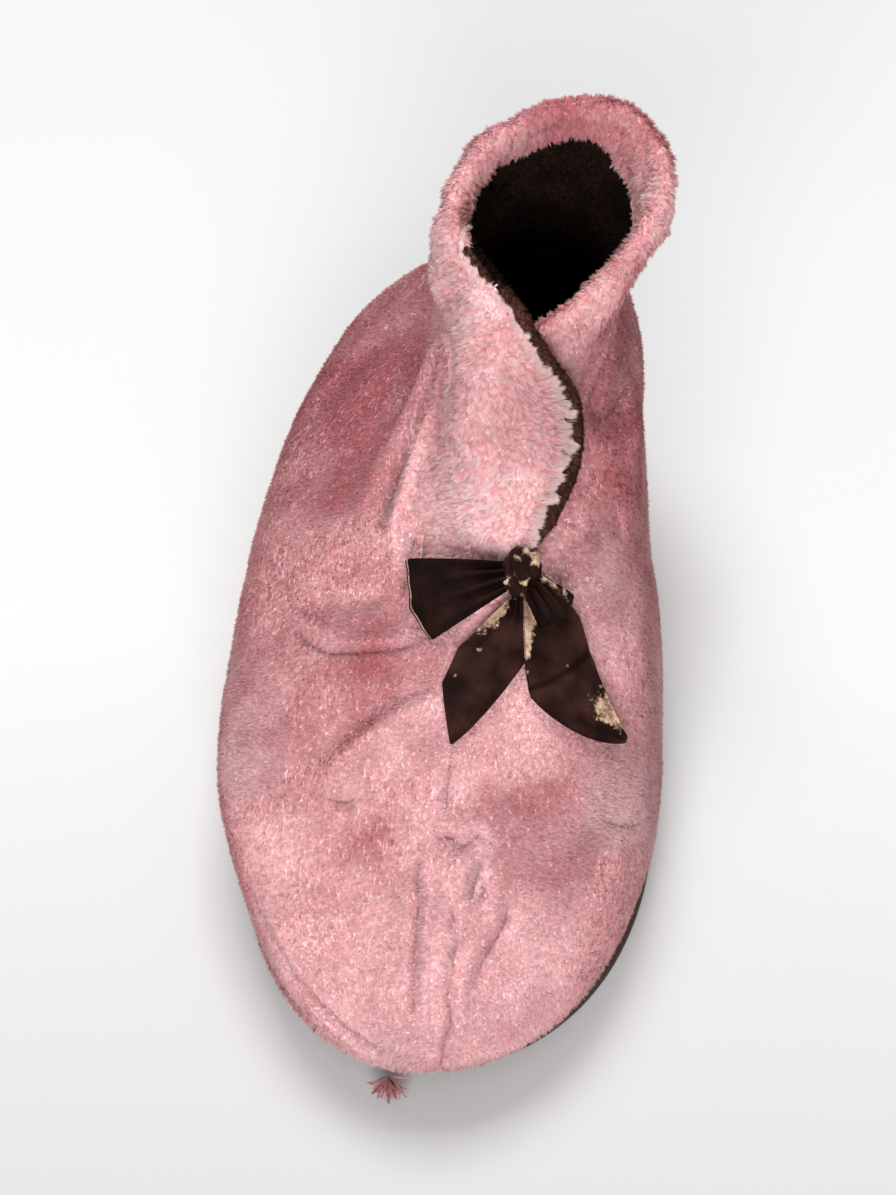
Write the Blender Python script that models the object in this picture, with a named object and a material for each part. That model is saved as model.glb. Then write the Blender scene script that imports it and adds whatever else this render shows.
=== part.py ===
"""Left plush bootie slipper: one hollow wrap upper, a banded cloth sole, a fleece insole and a ribbon bow.

Sizes and tables are in millimetres or in shares of the driving sizes. Meshes are in metres.
The toe points to -Y, the heel to +Y, and +X is the outer side of the left foot.
"""

import bmesh
import bpy
import numpy as np

for item in list(bpy.data.objects):
    bpy.data.objects.remove(item, do_unlink=True)

# Driving sizes of the slipper
LENGTH = 258.0
BALL_WIDTH = 121.0
COLLAR = 146.0
WALL = 4.0
RIM_WALL = 6.6
GAP = 0.3

# Sole stack from the floor up
OUTSOLE = 3.0
BAND = 6.1
INSOLE = 4.0
FEATHER = OUTSOLE + GAP + BAND + GAP

# Rise of the underside: the ball and the heel stay level
TOE_SPRING = 5.0
HEEL_SPRING = 2.0
ARCH = 2.0
BALL_FRONT = 62.0
BALL_BACK = 112.0
HEEL_FRONT = 186.0
HEEL_BACK = 226.0

# The origin lies under the middle of the bounding box
MIDDLE_X = 1.6
MIDDLE_Y = 129.0

# Sections of the upper, from the seam at the sole to the rim of the collar.
# Lengths along the foot are shares of LENGTH, heights are shares of COLLAR above the seam,
# and widths are shares of BALL_WIDTH. The powers shape the two ends of a ring, and vee draws its front to a point.
SECTIONS = np.array(
    [
        # front  front_z  back  back_z  left  right  middle widest front_n back_n skew  vee
        (0.012, 0.000, 0.981, 0.000, 0.426, 0.502, 0.000, 0.370, 2.10, 2.30, -0.008, 0.04),
        (-0.004, 0.076, 0.992, 0.112, 0.488, 0.512, 0.012, 0.375, 2.05, 2.22, -0.017, 0.06),
        (0.019, 0.200, 1.000, 0.263, 0.504, 0.495, 0.008, 0.380, 2.00, 2.25, -0.017, 0.10),
        (0.128, 0.310, 0.996, 0.384, 0.471, 0.433, 0.037, 0.415, 2.00, 2.30, -0.008, 0.10),
        (0.283, 0.398, 0.982, 0.486, 0.384, 0.350, 0.087, 0.460, 2.00, 2.22, 0.021, 0.06),
        (0.419, 0.501, 0.966, 0.574, 0.285, 0.292, 0.132, 0.505, 2.00, 2.10, 0.040, 0.00),
        (0.516, 0.618, 0.940, 0.663, 0.219, 0.223, 0.153, 0.530, 2.05, 2.00, 0.055, 0.00),
        (0.578, 0.736, 0.922, 0.765, 0.194, 0.200, 0.160, 0.550, 2.05, 2.00, 0.075, 0.00),
        (0.618, 0.824, 0.919, 0.890, 0.240, 0.232, 0.174, 0.560, 2.00, 2.00, 0.090, 0.05),
        (0.650, 0.884, 0.930, 1.000, 0.270, 0.262, 0.214, 0.540, 2.00, 2.00, 0.090, 0.65),
    ]
)
LEVELS = np.arange(len(SECTIONS), dtype=float)

# Free edges of the two flaps above the throat: the level, then the angle of the outer and the inner edge
THROAT = 5.38
THROAT_ANGLE = 11.0
FLAPS = np.array(
    [
        # level  outer  inner
        (5.38, 11.0, 11.0),
        (5.54, 11.5, 12.5),
        (5.85, 16.5, 8.0),
        (6.40, 29.0, -1.0),
        (7.35, 26.0, -8.0),
        (7.90, 16.0, -11.0),
        (8.50, 0.5, -14.0),
        (9.00, -15.0, -20.0),
    ]
)
# Fall of the inner flap's rim in levels, and the angles where it starts, where it is full and past which it ends
RIM_FALL = 0.45
FALL_ANGLES = (62.0, 10.0, -40.0)


def smooth(x):
    """Eased step from 0 to 1."""
    x = np.clip(x, 0.0, 1.0)
    return x * x * (3.0 - 2.0 * x)


def curve(x, knots, values):
    """Cubic through the rows of a table, with each slope taken from the neighbouring rows."""
    x = np.asarray(x, float)
    slopes = np.gradient(values, knots, axis=0)
    i = np.clip(np.searchsorted(knots, x, side="right") - 1, 0, len(knots) - 2)
    step = (knots[i + 1] - knots[i])[..., None]
    f = (x - knots[i])[..., None] / step
    start = values[i] * (1 + 2 * f) * (1 - f) ** 2 + slopes[i] * step * f * (1 - f) ** 2
    end = values[i + 1] * f**2 * (3 - 2 * f) + slopes[i + 1] * step * f**2 * (f - 1)
    return start + end


def rise(y):
    """Height of the sole's underside above the floor at y from the toe."""
    toe = TOE_SPRING * np.clip((BALL_FRONT - y) / BALL_FRONT, 0, 1.1) ** 2
    heel = HEEL_SPRING * np.clip((y - HEEL_BACK) / (LENGTH - HEEL_BACK), 0, 1) ** 2
    along = np.clip((y - BALL_BACK) / (HEEL_FRONT - BALL_BACK), 0, 1)
    return toe + heel + ARCH * np.sin(np.pi * along) ** 2


def oval(row, angle):
    """Ring of one section at an angle from the front, positive to +X: x, share of the way back, and y."""
    front, _, back, _, left, right, middle, widest, front_n, back_n, skew, vee = np.moveaxis(row, -1, 0)
    cosine = np.cos(angle)
    sine = np.sin(angle)
    power = 2.0 / np.where(cosine >= 0, front_n, back_n)
    along = np.abs(cosine) ** power
    across = np.sign(sine) * np.abs(sine) ** power
    pointed = (1 - vee) * along + vee * (1 - np.hypot(across, 0.15))
    share = np.where(cosine >= 0, widest * (1 - pointed), widest + (1 - widest) * along)
    x = BALL_WIDTH * (middle + across * np.where(sine >= 0, right, left) + skew * (share - widest))
    y = LENGTH * (front + (back - front) * share)
    return x, share, y


def rim_fall(level, angle):
    """Levels by which the inner flap falls away below its rim, growing towards its front edge."""
    start, full, last = np.radians(FALL_ANGLES)
    near = smooth((start - angle) / (start - full)) * (angle > last)
    return RIM_FALL * near * smooth((level - 7.6) / 1.4)


def skin(level, angle):
    """Outside of the upper before the flaps part."""
    row = curve(level - rim_fall(level, angle), LEVELS, SECTIONS)
    x, share, y = oval(row, angle)
    height = row[..., 1] + (row[..., 3] - row[..., 1]) * share
    z = FEATHER + (COLLAR - FEATHER) * height + rise(y) * np.clip(1 - level / 2.5, 0, 1)
    return np.stack([x, y, z], -1)


def skin_normal(level, angle):
    """Outward normal of the skin, turned level at the seam with the sole."""
    small = 0.02
    around = skin(level, angle + small) - skin(level, angle - small)
    upward = skin(np.minimum(level + small, LEVELS[-1]), angle) - skin(np.maximum(level - small, 0), angle)
    normal = np.cross(around, upward)
    normal /= np.linalg.norm(normal, axis=-1, keepdims=True)
    normal[..., 2] *= smooth(level / 0.6)
    return normal / np.linalg.norm(normal, axis=-1, keepdims=True)


def flap_edges(level):
    """Angles in radians of the outer and the inner flap edge at a level."""
    edges = curve(np.maximum(level, THROAT), FLAPS[:, 0], FLAPS[:, 1:])
    return np.radians(edges[..., 0]), np.radians(edges[..., 1])


def wrap(level, share):
    """Angle at a share of the way from the inner flap's edge round the heel to the outer flap's edge."""
    outer, inner = flap_edges(level)
    start = np.radians(THROAT_ANGLE)
    pull_inner = (inner - start) * np.clip(1 - share / 0.4, 0, 1) ** 2
    pull_outer = (outer - start) * np.clip((share - 0.6) / 0.4, 0, 1) ** 2
    return start + 2 * np.pi * share + pull_inner + pull_outer


def lap_lift(level, angle):
    """Outward shift that parts the outer flap from the inner flap below it."""
    outer, inner = flap_edges(level)
    half = 0.5 * (WALL + 0.9) * smooth((level - THROAT) / 0.35)
    level_part = np.maximum(outer - inner, 0) + 0.08
    from_outer = smooth((outer + 2 * np.pi - angle - level_part) / 0.9)
    from_inner = smooth((angle - inner - level_part) / 0.9)
    return half * (from_inner - from_outer)


def wall(level):
    """Thickness of the upper: plain cloth and lining, growing into the rolled rim."""
    return WALL + (RIM_WALL - WALL) * smooth((level - 7.6) / 1.2)


def shell_point(level, angle, depth):
    """Point of the upper at a depth below its outside."""
    lift = lap_lift(level, angle) - depth
    return skin(level, angle) + skin_normal(level, angle) * lift[..., None]


def add_node(name, points, faces, material):
    """Closed mesh object in metres with its faces turned outward."""
    mesh = bpy.data.meshes.new(name)
    moved = (np.asarray(points, float) - (MIDDLE_X, MIDDLE_Y, 0.0)) * 0.001
    mesh.from_pydata(moved.tolist(), [], [list(map(int, face)) for face in faces])
    shape = bmesh.new()
    shape.from_mesh(mesh)
    bmesh.ops.remove_doubles(shape, verts=shape.verts, dist=1e-7)
    bmesh.ops.triangulate(shape, faces=shape.faces)
    bmesh.ops.recalc_face_normals(shape, faces=shape.faces)
    shape.to_mesh(mesh)
    shape.free()
    mesh.materials.append(material)
    node = bpy.data.objects.new(name, mesh)
    bpy.context.scene.collection.objects.link(node)
    return node


def plain_material(name, colour, roughness):
    """Principled material of one colour."""
    material = bpy.data.materials.new(name)
    material.use_nodes = True
    shader = material.node_tree.nodes["Principled BSDF"]
    shader.inputs["Base Color"].default_value = (*colour, 1.0)
    shader.inputs["Roughness"].default_value = roughness
    return material


def grid_faces(rows, columns, closed):
    """Quads of a grid of points, joined across its last column when it is closed."""
    row, column = np.meshgrid(np.arange(rows - 1), np.arange(columns - (not closed)), indexing="ij")
    beside = (column + 1) % columns
    corners = [row * columns + column, row * columns + beside]
    corners += [(row + 1) * columns + beside, (row + 1) * columns + column]
    return np.stack(corners, -1).reshape(-1, 4)


def add_drum(name, rings, material):
    """Solid lofted through rings, with its first and last ring drawn in to one point each."""
    rings = np.asarray(rings, float)
    count, columns = rings.shape[:2]
    faces = grid_faces(count, columns, True).tolist()
    points = rings.reshape(-1, 3)
    for first in (0, (count - 1) * columns):
        points[first : first + columns] = points[first : first + columns].mean(0)
    return add_node(name, points, faces, material)


def add_slab(name, top, bottom, material):
    """Solid between two grids of points, closed along their borders."""
    rows, columns = top.shape[:2]
    faces = grid_faces(rows, columns, False)
    count = rows * columns
    index = np.arange(count).reshape(rows, columns)
    border = np.concatenate([index[0, :-1], index[:-1, -1], index[-1, :0:-1], index[:0:-1, 0]])
    after = np.roll(border, -1)
    sides = np.stack([border, after, after + count, border + count], -1)
    points = np.concatenate([top.reshape(-1, 3), bottom.reshape(-1, 3)])
    return add_node(name, points, np.concatenate([faces, faces[:, ::-1] + count, sides]), material)


def add_upper(material):
    """Upper as a loop of points per column: up the outside, over the rolled rim and down the inside."""
    low = np.concatenate([np.arange(0, 5.0, 0.4), [5.05, THROAT]])
    high = np.array([5.5, 5.62, 5.78, 6.0, 6.3, 6.65, 7.0, 7.4, 7.8, 8.15, 8.45, 8.75, 9.0])
    levels = np.concatenate([low, high])
    parted = len(low) - 1
    columns = 60
    level, share = np.meshgrid(levels, np.linspace(0, 1, columns + 1), indexing="ij")
    angle = wrap(level, share)
    thick = wall(level)
    outside = shell_point(level, angle, 0 * thick)
    inside = shell_point(level, angle, thick)
    inside[0, :, 2] = outside[0, :, 2]
    upward = outside[-1] - outside[-2]
    around = np.gradient(outside[-1], axis=0)
    around /= np.linalg.norm(around, axis=-1, keepdims=True)
    upward -= around * (upward * around).sum(-1, keepdims=True)
    upward /= np.linalg.norm(upward, axis=-1, keepdims=True)
    centre = 0.5 * (outside[-1] + inside[-1])
    radius = 0.5 * (outside[-1] - inside[-1])
    half = 0.5 * RIM_WALL
    roll = [centre + radius * np.cos(a) + upward * half * np.sin(a) for a in np.radians((45, 90, 135))]
    loop = np.concatenate([outside, np.array(roll), inside[::-1]])
    steps = len(loop)
    index = np.arange(steps * (columns + 1)).reshape(steps, columns + 1)
    index[: parted + 1, -1] = index[: parted + 1, 0]
    index[steps - parted - 1 :, -1] = index[steps - parted - 1 :, 0]
    after = np.roll(index, -1, axis=0)
    faces = np.stack([index[:, :-1], index[:, 1:], after[:, 1:], after[:, :-1]], -1).reshape(-1, 4).tolist()
    for column in (0, columns):
        cap = [index[k, column] for k in range(parted, steps - parted)]
        for k in range(len(cap) // 2 - 1):
            faces.append([cap[k], cap[k + 1], cap[-k - 2], cap[-k - 1]])
        if len(cap) % 2:
            middle = len(cap) // 2
            faces.append([cap[middle - 1], cap[middle], cap[middle + 1]])
    used, packed = np.unique(np.concatenate([np.asarray(f) for f in faces]), return_inverse=True)
    packed = packed.tolist()
    ends = np.cumsum([0] + [len(f) for f in faces])
    faces = [packed[a:b] for a, b in zip(ends[:-1], ends[1:])]
    return add_node("upper", loop.reshape(-1, 3)[used], [list(dict.fromkeys(f)) for f in faces], material)


# Outlines of the sole's layers in shares of LENGTH and BALL_WIDTH, with the powers of the toe and the heel
SOLE_WIDEST = 0.37
SOLE_POWERS = (2.1, 2.35)
WAIST = 0.05
SOLE_LAYERS = {
    # front  back  left  right  base  thickness  edge
    "outsole": (0.032, 0.978, 0.420, 0.518, 0.0, OUTSOLE, 0.9),
    "sole_band": (0.023, 0.981, 0.442, 0.497, OUTSOLE + GAP, BAND, 1.3),
    "insole": (0.046, 0.957, 0.378, 0.440, FEATHER, INSOLE, 1.0),
}
# Cuts across the sole, from the toe: the same for each layer, so that the layers follow one another
SOLE_CUTS = (7, 9, 11.5, 14.5, 18, 22, 27, 33, 40, 47, 54, 62, 80, 96, 112, 119, 126, 133, 140, 149, 158)
SOLE_CUTS += (165, 172, 179, 186, 206, 226, 232, 237, 241, 244, 246.5, 248.5, 250)


def sole_sides(y, front, back, left, right):
    """Left and right edge of a sole layer at y from the toe."""
    widest = SOLE_WIDEST * LENGTH
    power = np.where(y < widest, *SOLE_POWERS)
    end = np.where(y < widest, front * LENGTH, back * LENGTH)
    away = np.clip(np.abs(y - widest) / np.abs(end - widest), 0, 1)
    full = (1 - away**power) ** (1 / power)
    full *= 1 - WAIST * np.exp(-(((y - 0.60 * LENGTH) / 42.0) ** 2))
    return -left * BALL_WIDTH * full, right * BALL_WIDTH * full


def add_sole_layer(name, material):
    """One layer of the sole: eight-sided cross-sections from toe to heel."""
    front, back, left, right, base, thick, edge = SOLE_LAYERS[name]
    first = front * LENGTH
    last = back * LENGTH
    inner = [cut for cut in SOLE_CUTS if first + 0.8 < cut < last - 0.8]
    y = np.array([first + 0.35, *inner, last - 0.35])
    low, high = sole_sides(y, front, back, left, right)
    ease = np.minimum(edge, 0.3 * (high - low))
    floor = rise(y) + base
    x = [low + ease, low, low, low + ease, high - ease, high, high, high - ease]
    z = [0, edge, thick - edge, thick, thick, thick - edge, edge, 0]
    loops = np.stack([np.stack([side, y, floor + up], -1) for side, up in zip(x, z)], 1)
    faces = grid_faces(len(y), 8, True).tolist()
    final = 8 * (len(y) - 1)
    faces += [list(range(8)), list(range(final, final + 8))]
    return add_node(name, loops.reshape(-1, 3), faces, material)


# Ribbon bow: its thickness, the room below the tails, and the knot's place and half sizes
RIBBON = 1.2
TAIL_CLEAR = 0.6
KNOT_AT = (5.36, 11.5)
KNOT_HALF = (5.6, 7.0, 4.2)

# Edges of the two tails from the knot to the slanted tip: level and angle in degrees
TAILS = {
    "bow_tail_left": (
        ((5.15, 7.5), (5.00, 1.0), (4.70, -9.5), (4.40, -12.0), (4.00, -4.5)),
        ((5.15, 12.5), (4.94, 14.0), (4.75, 16.0), (4.55, 16.5), (4.01, -3.5)),
    ),
    "bow_tail_right": (
        ((5.15, 14.0), (4.84, 16.5), (4.50, 20.0), (4.24, 23.0), (3.02, 61.0)),
        ((5.15, 21.0), (4.95, 31.0), (4.60, 39.0), (4.00, 48.0), (3.04, 62.0)),
    ),
}

# Loops from the knot, in the plane that touches the throat
LOOPS = {
    # reach  aim in degrees  width at knot  width at end  bulge  middle height  droop radius
    "bow_loop_left": (28.0, 194.0, 8.0, 23.0, 8.0, 5.2, 62.0),
    "bow_loop_right": (14.0, -50.0, 7.0, 12.5, 6.0, 9.0, 60.0),
}


def throat_frame():
    """Point of the knot on the upper, then the directions to the outer side, up the shaft and outward."""
    level = np.array(KNOT_AT[0])
    angle = np.radians(np.array(KNOT_AT[1]))
    outward = skin_normal(level, angle)
    foot = skin(level, angle)
    ahead = skin(level + 0.02, angle) - foot
    ahead -= outward * (ahead @ outward)
    beside = np.cross(ahead, outward)
    beside[2] = 0.0
    beside -= outward * (beside @ outward)
    beside /= np.linalg.norm(beside)
    return foot, beside, np.cross(outward, beside), outward


def add_tail(name, edges, material):
    """One tail of the bow, lying over the vamp between its two edges."""
    steps = np.linspace(0, 4, 13)
    sides = [[np.interp(steps, range(5), column) for column in np.transpose(edge)] for edge in edges]
    left, right = (np.stack(side, -1) for side in sides)
    across = np.linspace(0, 1, 4)[None, :, None]
    grid = left[:, None] + (right - left)[:, None] * across
    level = grid[..., 0]
    angle = np.radians(grid[..., 1])
    drape = TAIL_CLEAR + 0 * level
    top = shell_point(level, angle, -drape - RIBBON)
    bottom = shell_point(level, angle, -drape)
    return add_slab(name, top, bottom, material)


def add_loop(name, row, material):
    """One loop of the bow: out along the top, round the end and back below, gathered at the knot."""
    reach, aim, knot_width, end_width, bulge, middle, droop = row
    foot, beside, ahead, outward = throat_frame()
    axis = beside * np.cos(np.radians(aim)) + ahead * np.sin(np.radians(aim))
    across = np.cross(outward, axis)
    turn = np.linspace(0, 1, 25)
    spread = np.sin(np.pi * turn) ** 0.8
    root = KNOT_HALF[0] + 0.7
    out = root + (reach - root) * spread
    swell = 0.9 + 0.5 * bulge * np.sin(np.pi * turn) ** 0.7
    height = middle + np.cos(np.pi * turn) * swell - out**2 / (2 * droop)
    centre = foot + out[:, None] * axis + height[:, None] * outward
    face = np.cross(np.gradient(centre, axis=0), across)
    face /= np.linalg.norm(face, axis=-1, keepdims=True)
    half = 0.5 * (knot_width + (end_width - knot_width) * spread)
    sheet = centre[:, None] + np.linspace(-1, 1, 4)[None, :, None] * half[:, None, None] * across
    half_thick = 0.5 * RIBBON * face[:, None]
    return add_slab(name, sheet + half_thick, sheet - half_thick, material)


def add_knot(material):
    """Knot of the bow: a rounded lump on the throat."""
    foot, beside, ahead, outward = throat_frame()
    centre = foot + outward * (KNOT_HALF[2] + GAP)
    tilt = np.linspace(-0.5 * np.pi, 0.5 * np.pi, 9)[:, None]
    turn = np.linspace(0, 2 * np.pi, 16, endpoint=False)[None]
    flat = np.abs(np.cos(tilt)) ** 0.7
    x = KNOT_HALF[0] * flat * np.cos(turn)
    y = KNOT_HALF[1] * flat * np.sin(turn)
    z = KNOT_HALF[2] * np.sin(tilt) + 0 * turn
    rings = centre + x[..., None] * beside + y[..., None] * ahead + z[..., None] * outward
    return add_drum("bow_knot", rings, material)


def add_edging(material):
    """Narrow edging beside the free edge of the outer flap."""
    level = np.linspace(5.66, 8.92, 32)
    outer, _ = flap_edges(level)
    angle = outer + 2 * np.pi
    edge = shell_point(level, angle, 0 * level)
    normal = skin_normal(level, angle)
    run = np.gradient(edge, axis=0)
    beside = np.cross(run, normal)
    beside /= np.linalg.norm(beside, axis=-1, keepdims=True)
    beside *= np.sign((beside * (skin(level, angle + 0.05) - skin(level, angle))).sum(-1, keepdims=True))
    grids = []
    for depth in (0.7, 3.3):
        near = edge + beside * GAP - normal * depth
        far = edge + beside * (GAP + 5.2) - normal * (0.5 * depth + 0.9)
        grids.append(np.stack([near, far], 1))
    return add_slab("lap_edging", grids[0], grids[1], material)


pink = plain_material("pink pile cloth", (0.62, 0.32, 0.32), 0.9)
brown = plain_material("brown fleece", (0.05, 0.028, 0.022), 0.9)
ribbon = plain_material("brown ribbon", (0.035, 0.02, 0.016), 0.6)

add_sole_layer("outsole", brown)
add_sole_layer("sole_band", pink)
add_sole_layer("insole", brown)
add_upper(pink)
add_edging(brown)
add_knot(ribbon)
for loop_name, loop_row in LOOPS.items():
    add_loop(loop_name, loop_row, ribbon)
for tail_name, tail_edges in TAILS.items():
    add_tail(tail_name, tail_edges, ribbon)
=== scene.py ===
"""Looks of a left plush bootie slipper: pink pile, brown fleece lining, padded cloth sole and a ribbon bow.

Shapes are worked out in millimetres in the maker's frame, with the toe at y = 0 and the floor at z = 0.
put_mesh moves them under the middle of the model and turns them to metres.
"""

import math

import bpy
import numpy as np
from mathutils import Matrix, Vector


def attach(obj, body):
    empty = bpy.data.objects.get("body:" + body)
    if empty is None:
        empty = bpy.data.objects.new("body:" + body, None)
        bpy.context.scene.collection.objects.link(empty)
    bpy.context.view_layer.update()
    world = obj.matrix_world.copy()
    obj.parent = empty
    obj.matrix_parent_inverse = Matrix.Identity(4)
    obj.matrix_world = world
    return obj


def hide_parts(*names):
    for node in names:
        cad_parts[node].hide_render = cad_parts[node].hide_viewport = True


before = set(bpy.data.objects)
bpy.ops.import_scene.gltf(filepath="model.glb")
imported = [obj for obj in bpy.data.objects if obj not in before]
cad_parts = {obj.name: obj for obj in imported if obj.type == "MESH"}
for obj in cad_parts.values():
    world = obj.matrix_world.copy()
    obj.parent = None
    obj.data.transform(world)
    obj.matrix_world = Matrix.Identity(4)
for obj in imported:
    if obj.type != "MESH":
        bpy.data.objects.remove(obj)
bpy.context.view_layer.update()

# Sizes of the slipper in millimetres, as in the solid model
LENGTH = 258.0
BALL_WIDTH = 121.0
COLLAR = 146.0
WALL = 4.0
RIM_WALL = 6.6
GAP = 0.3
OUTSOLE = 3.0
BAND = 6.1
INSOLE = 4.0
FEATHER = OUTSOLE + GAP + BAND + GAP
TOE_SPRING = 5.0
HEEL_SPRING = 2.0
ARCH = 2.0
BALL_FRONT = 62.0
BALL_BACK = 112.0
HEEL_FRONT = 186.0
HEEL_BACK = 226.0
MIDDLE = np.array([1.6, 129.0, 0.0])

# Sections of the upper from the sole seam to the rim, in shares of length, height and width
SECTIONS = np.array(
    [
        # front  front_z  back  back_z  left  right  middle widest front_n back_n skew  vee
        (0.012, 0.000, 0.981, 0.000, 0.426, 0.502, 0.000, 0.370, 2.10, 2.30, -0.008, 0.04),
        (-0.004, 0.076, 0.992, 0.112, 0.488, 0.512, 0.012, 0.375, 2.05, 2.22, -0.017, 0.06),
        (0.019, 0.200, 1.000, 0.263, 0.504, 0.495, 0.008, 0.380, 2.00, 2.25, -0.017, 0.10),
        (0.128, 0.310, 0.996, 0.384, 0.471, 0.433, 0.037, 0.415, 2.00, 2.30, -0.008, 0.10),
        (0.283, 0.398, 0.982, 0.486, 0.384, 0.350, 0.087, 0.460, 2.00, 2.22, 0.021, 0.06),
        (0.419, 0.501, 0.966, 0.574, 0.285, 0.292, 0.132, 0.505, 2.00, 2.10, 0.040, 0.00),
        (0.516, 0.618, 0.940, 0.663, 0.219, 0.223, 0.153, 0.530, 2.05, 2.00, 0.055, 0.00),
        (0.578, 0.736, 0.922, 0.765, 0.194, 0.200, 0.160, 0.550, 2.05, 2.00, 0.075, 0.00),
        (0.618, 0.824, 0.919, 0.890, 0.240, 0.232, 0.174, 0.560, 2.00, 2.00, 0.090, 0.05),
        (0.650, 0.884, 0.930, 1.000, 0.270, 0.262, 0.214, 0.540, 2.00, 2.00, 0.090, 0.65),
    ]
)
LEVELS = np.arange(len(SECTIONS), dtype=float)
# Level and angle where the flaps part, then the angles of their edges at levels above
THROAT = 5.38
THROAT_ANGLE = 11.0
FLAPS = np.array(
    [
        # level  outer  inner
        (5.38, 11.0, 11.0),
        (5.54, 11.5, 12.5),
        (5.85, 16.5, 8.0),
        (6.40, 29.0, -1.0),
        (7.35, 26.0, -8.0),
        (7.90, 16.0, -11.0),
        (8.50, 0.5, -14.0),
        (9.00, -15.0, -20.0),
    ]
)
# Gap in mm between the lapped flaps, and the angle in radians over which they come together
LAP_GAP = 0.9
LAP_EASE = 0.9
# Fall of the inner flap's rim in levels, and the angles where it starts, is full and ends
RIM_FALL = 0.45
FALL_ANGLES = (62.0, 10.0, -40.0)
# Level of the rim, and the level from which the cloth thickens towards it
RIM = 9.0
RIM_FROM = 7.6

# Creases: depth, half width and width of the painted dark shade line in mm, then points as level and degrees
CREASES = [
    # Toe seam and the pleats beside it
    (1.3, 1.2, 0.55, ((2.46, 8.0), (2.14, 8.0), (1.84, 9.0), (1.42, 7.0), (0.78, 6.0), (0.20, 6.0))),
    (1.3, 1.2, 0.55, ((3.30, -6.5), (3.10, -6.0), (2.90, -4.0), (2.60, -3.0), (2.16, -1.0), (1.86, 0.0))),
    (1.2, 1.7, 0.5, ((2.80, 22.0), (2.60, 21.0), (2.42, 17.0), (2.14, 13.5))),
    (1.0, 1.4, 0.5, ((3.20, 12.5), (3.05, 11.0), (2.90, 10.0))),
    (1.0, 1.6, 0.5, ((3.36, -4.0), (3.40, 1.0), (3.33, 5.0), (3.38, 10.0), (3.26, 16.0))),
    (-2.0, 4.2, 0.0, ((3.26, 3.0), (3.08, 4.0), (2.80, 4.0), (2.50, 3.5), (2.20, 3.0))),
    (-1.2, 2.6, 0.0, ((3.26, 8.0), (3.12, 7.0))),
    (0.9, 1.7, 0.7, ((3.02, 12.5), (2.96, 14.0), (2.86, 12.0))),
    (0.7, 1.6, 0.6, ((2.62, 8.5), (2.52, 7.5), (2.40, 8.5))),
    (0.6, 1.6, 0.6, ((2.92, 4.0), (2.80, 6.0), (2.70, 5.0))),
    (-0.9, 3.0, 0.0, ((2.40, 12.0), (2.10, 11.0), (1.70, 12.0))),
    (0.8, 1.6, 0.45, ((3.98, -4.0), (3.76, -3.0), (3.50, -2.0))),
    (0.8, 2.0, 0.5, ((3.18, -36.0), (3.28, -31.0), (3.36, -28.0))),
    # Folds of the vamp below the bow
    (1.4, 1.2, 0.5, ((3.46, -73), (3.64, -63), (3.82, -54), (4.16, -42), (4.44, -31), (4.64, -23))),
    (-1.2, 2.6, 0.0, ((3.56, -73.0), (3.72, -64.0), (3.90, -55.0), (4.22, -43.0), (4.50, -32.0))),
    (0.9, 3.0, 0.0, ((3.84, -66.0), (4.02, -60.0), (4.26, -53.0), (4.60, -43.0))),
    (-2.3, 4.2, 0.0, ((3.20, -38.0), (3.48, -35.0), (3.80, -29.0), (4.12, -20.0), (4.38, -10.0))),
    (0.6, 2.6, 0.0, ((3.28, -42.0), (3.58, -38.0), (3.90, -31.0), (4.20, -21.5), (4.44, -11.0))),
    (0.6, 1.8, 0.45, ((2.72, 52.0), (2.30, 62.0), (1.80, 74.0))),
    # Long crease where the shaft panel meets the left quarter, with the ridge beside it painted paler as a
    # highlight
    (3.8, 3.2, 1.1, ((7.40, -86), (6.40, -81), (5.94, -75), (5.44, -70), (5.00, -68), (4.66, -61))),
    (-1.8, 2.8, 0.0, ((6.20, -66.0), (5.60, -60.0), (5.10, -57.0), (4.76, -52.0))),
    (-1.2, 2.2, 0.0, ((5.05, -52.0), (4.80, -46.0), (4.58, -39.0))),
    (0.9, 2.4, 0.8, ((5.20, -46.0), (4.92, -43.0), (4.70, -38.0))),
    # Seam of the band on the inner side of the toe
    (2.2, 1.8, 1, ((1.72, -52), (1.64, -42), (1.5, -36), (1.42, -29), (1.26, -20), (1.14, -12), (0.95, -4))),
    # Pale line down the outer side of the shaft
    (-1.0, 1.6, 0.0, ((7.10, 84.0), (6.86, 78.0), (6.76, 65.0), (6.60, 54.0), (6.40, 48.0))),
    (0.8, 1.6, 0.8, ((7.00, 87.0), (6.76, 80.0), (6.64, 67.0), (6.48, 56.0))),
    # Slack of the collar behind, a dent in the neck, and gathers round the ankle
    (2.8, 11.0, 0.0, ((9.0, 72.0), (9.0, 100.0), (8.9, 118.0), (8.7, 138.0))),
    (6.0, 8.5, 0.0, ((7.92, -68.0), (7.65, -56.0), (7.25, -55.0), (6.95, -60.0))),
    (-1.6, 6.0, 0.0, ((8.9, -46.0), (8.9, -62.0), (8.9, -80.0))),
    (-1.4, 8.0, 0.0, ((9.0, 150.0), (8.8, 165.0))),
    (1.6, 7.0, 0.0, ((9.0, 200.0), (8.7, 214.0), (8.3, 222.0))),
    (2.2, 4.2, 0.9, ((6.3, 140.0), (6.0, 175.0), (6.2, 215.0))),
    (1.8, 4.0, 0.9, ((7.2, 120.0), (7.0, 160.0), (7.15, 205.0))),
    (1.8, 4.5, 0.8, ((5.6, 88.0), (5.9, 70.0), (6.4, 58.0))),
    (1.3, 4.0, 0.0, ((4.6, 70.0), (4.9, 60.0), (5.1, 46.0))),
    (1.4, 5.0, 0.0, ((3.2, 100.0), (4.0, 96.0), (4.9, 100.0))),
    (1.4, 5.0, 0.0, ((3.4, -112.0), (4.3, -118.0), (5.2, -112.0))),
]
# Points that a crease's path is walked in
CREASE_STEPS = 52


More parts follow.
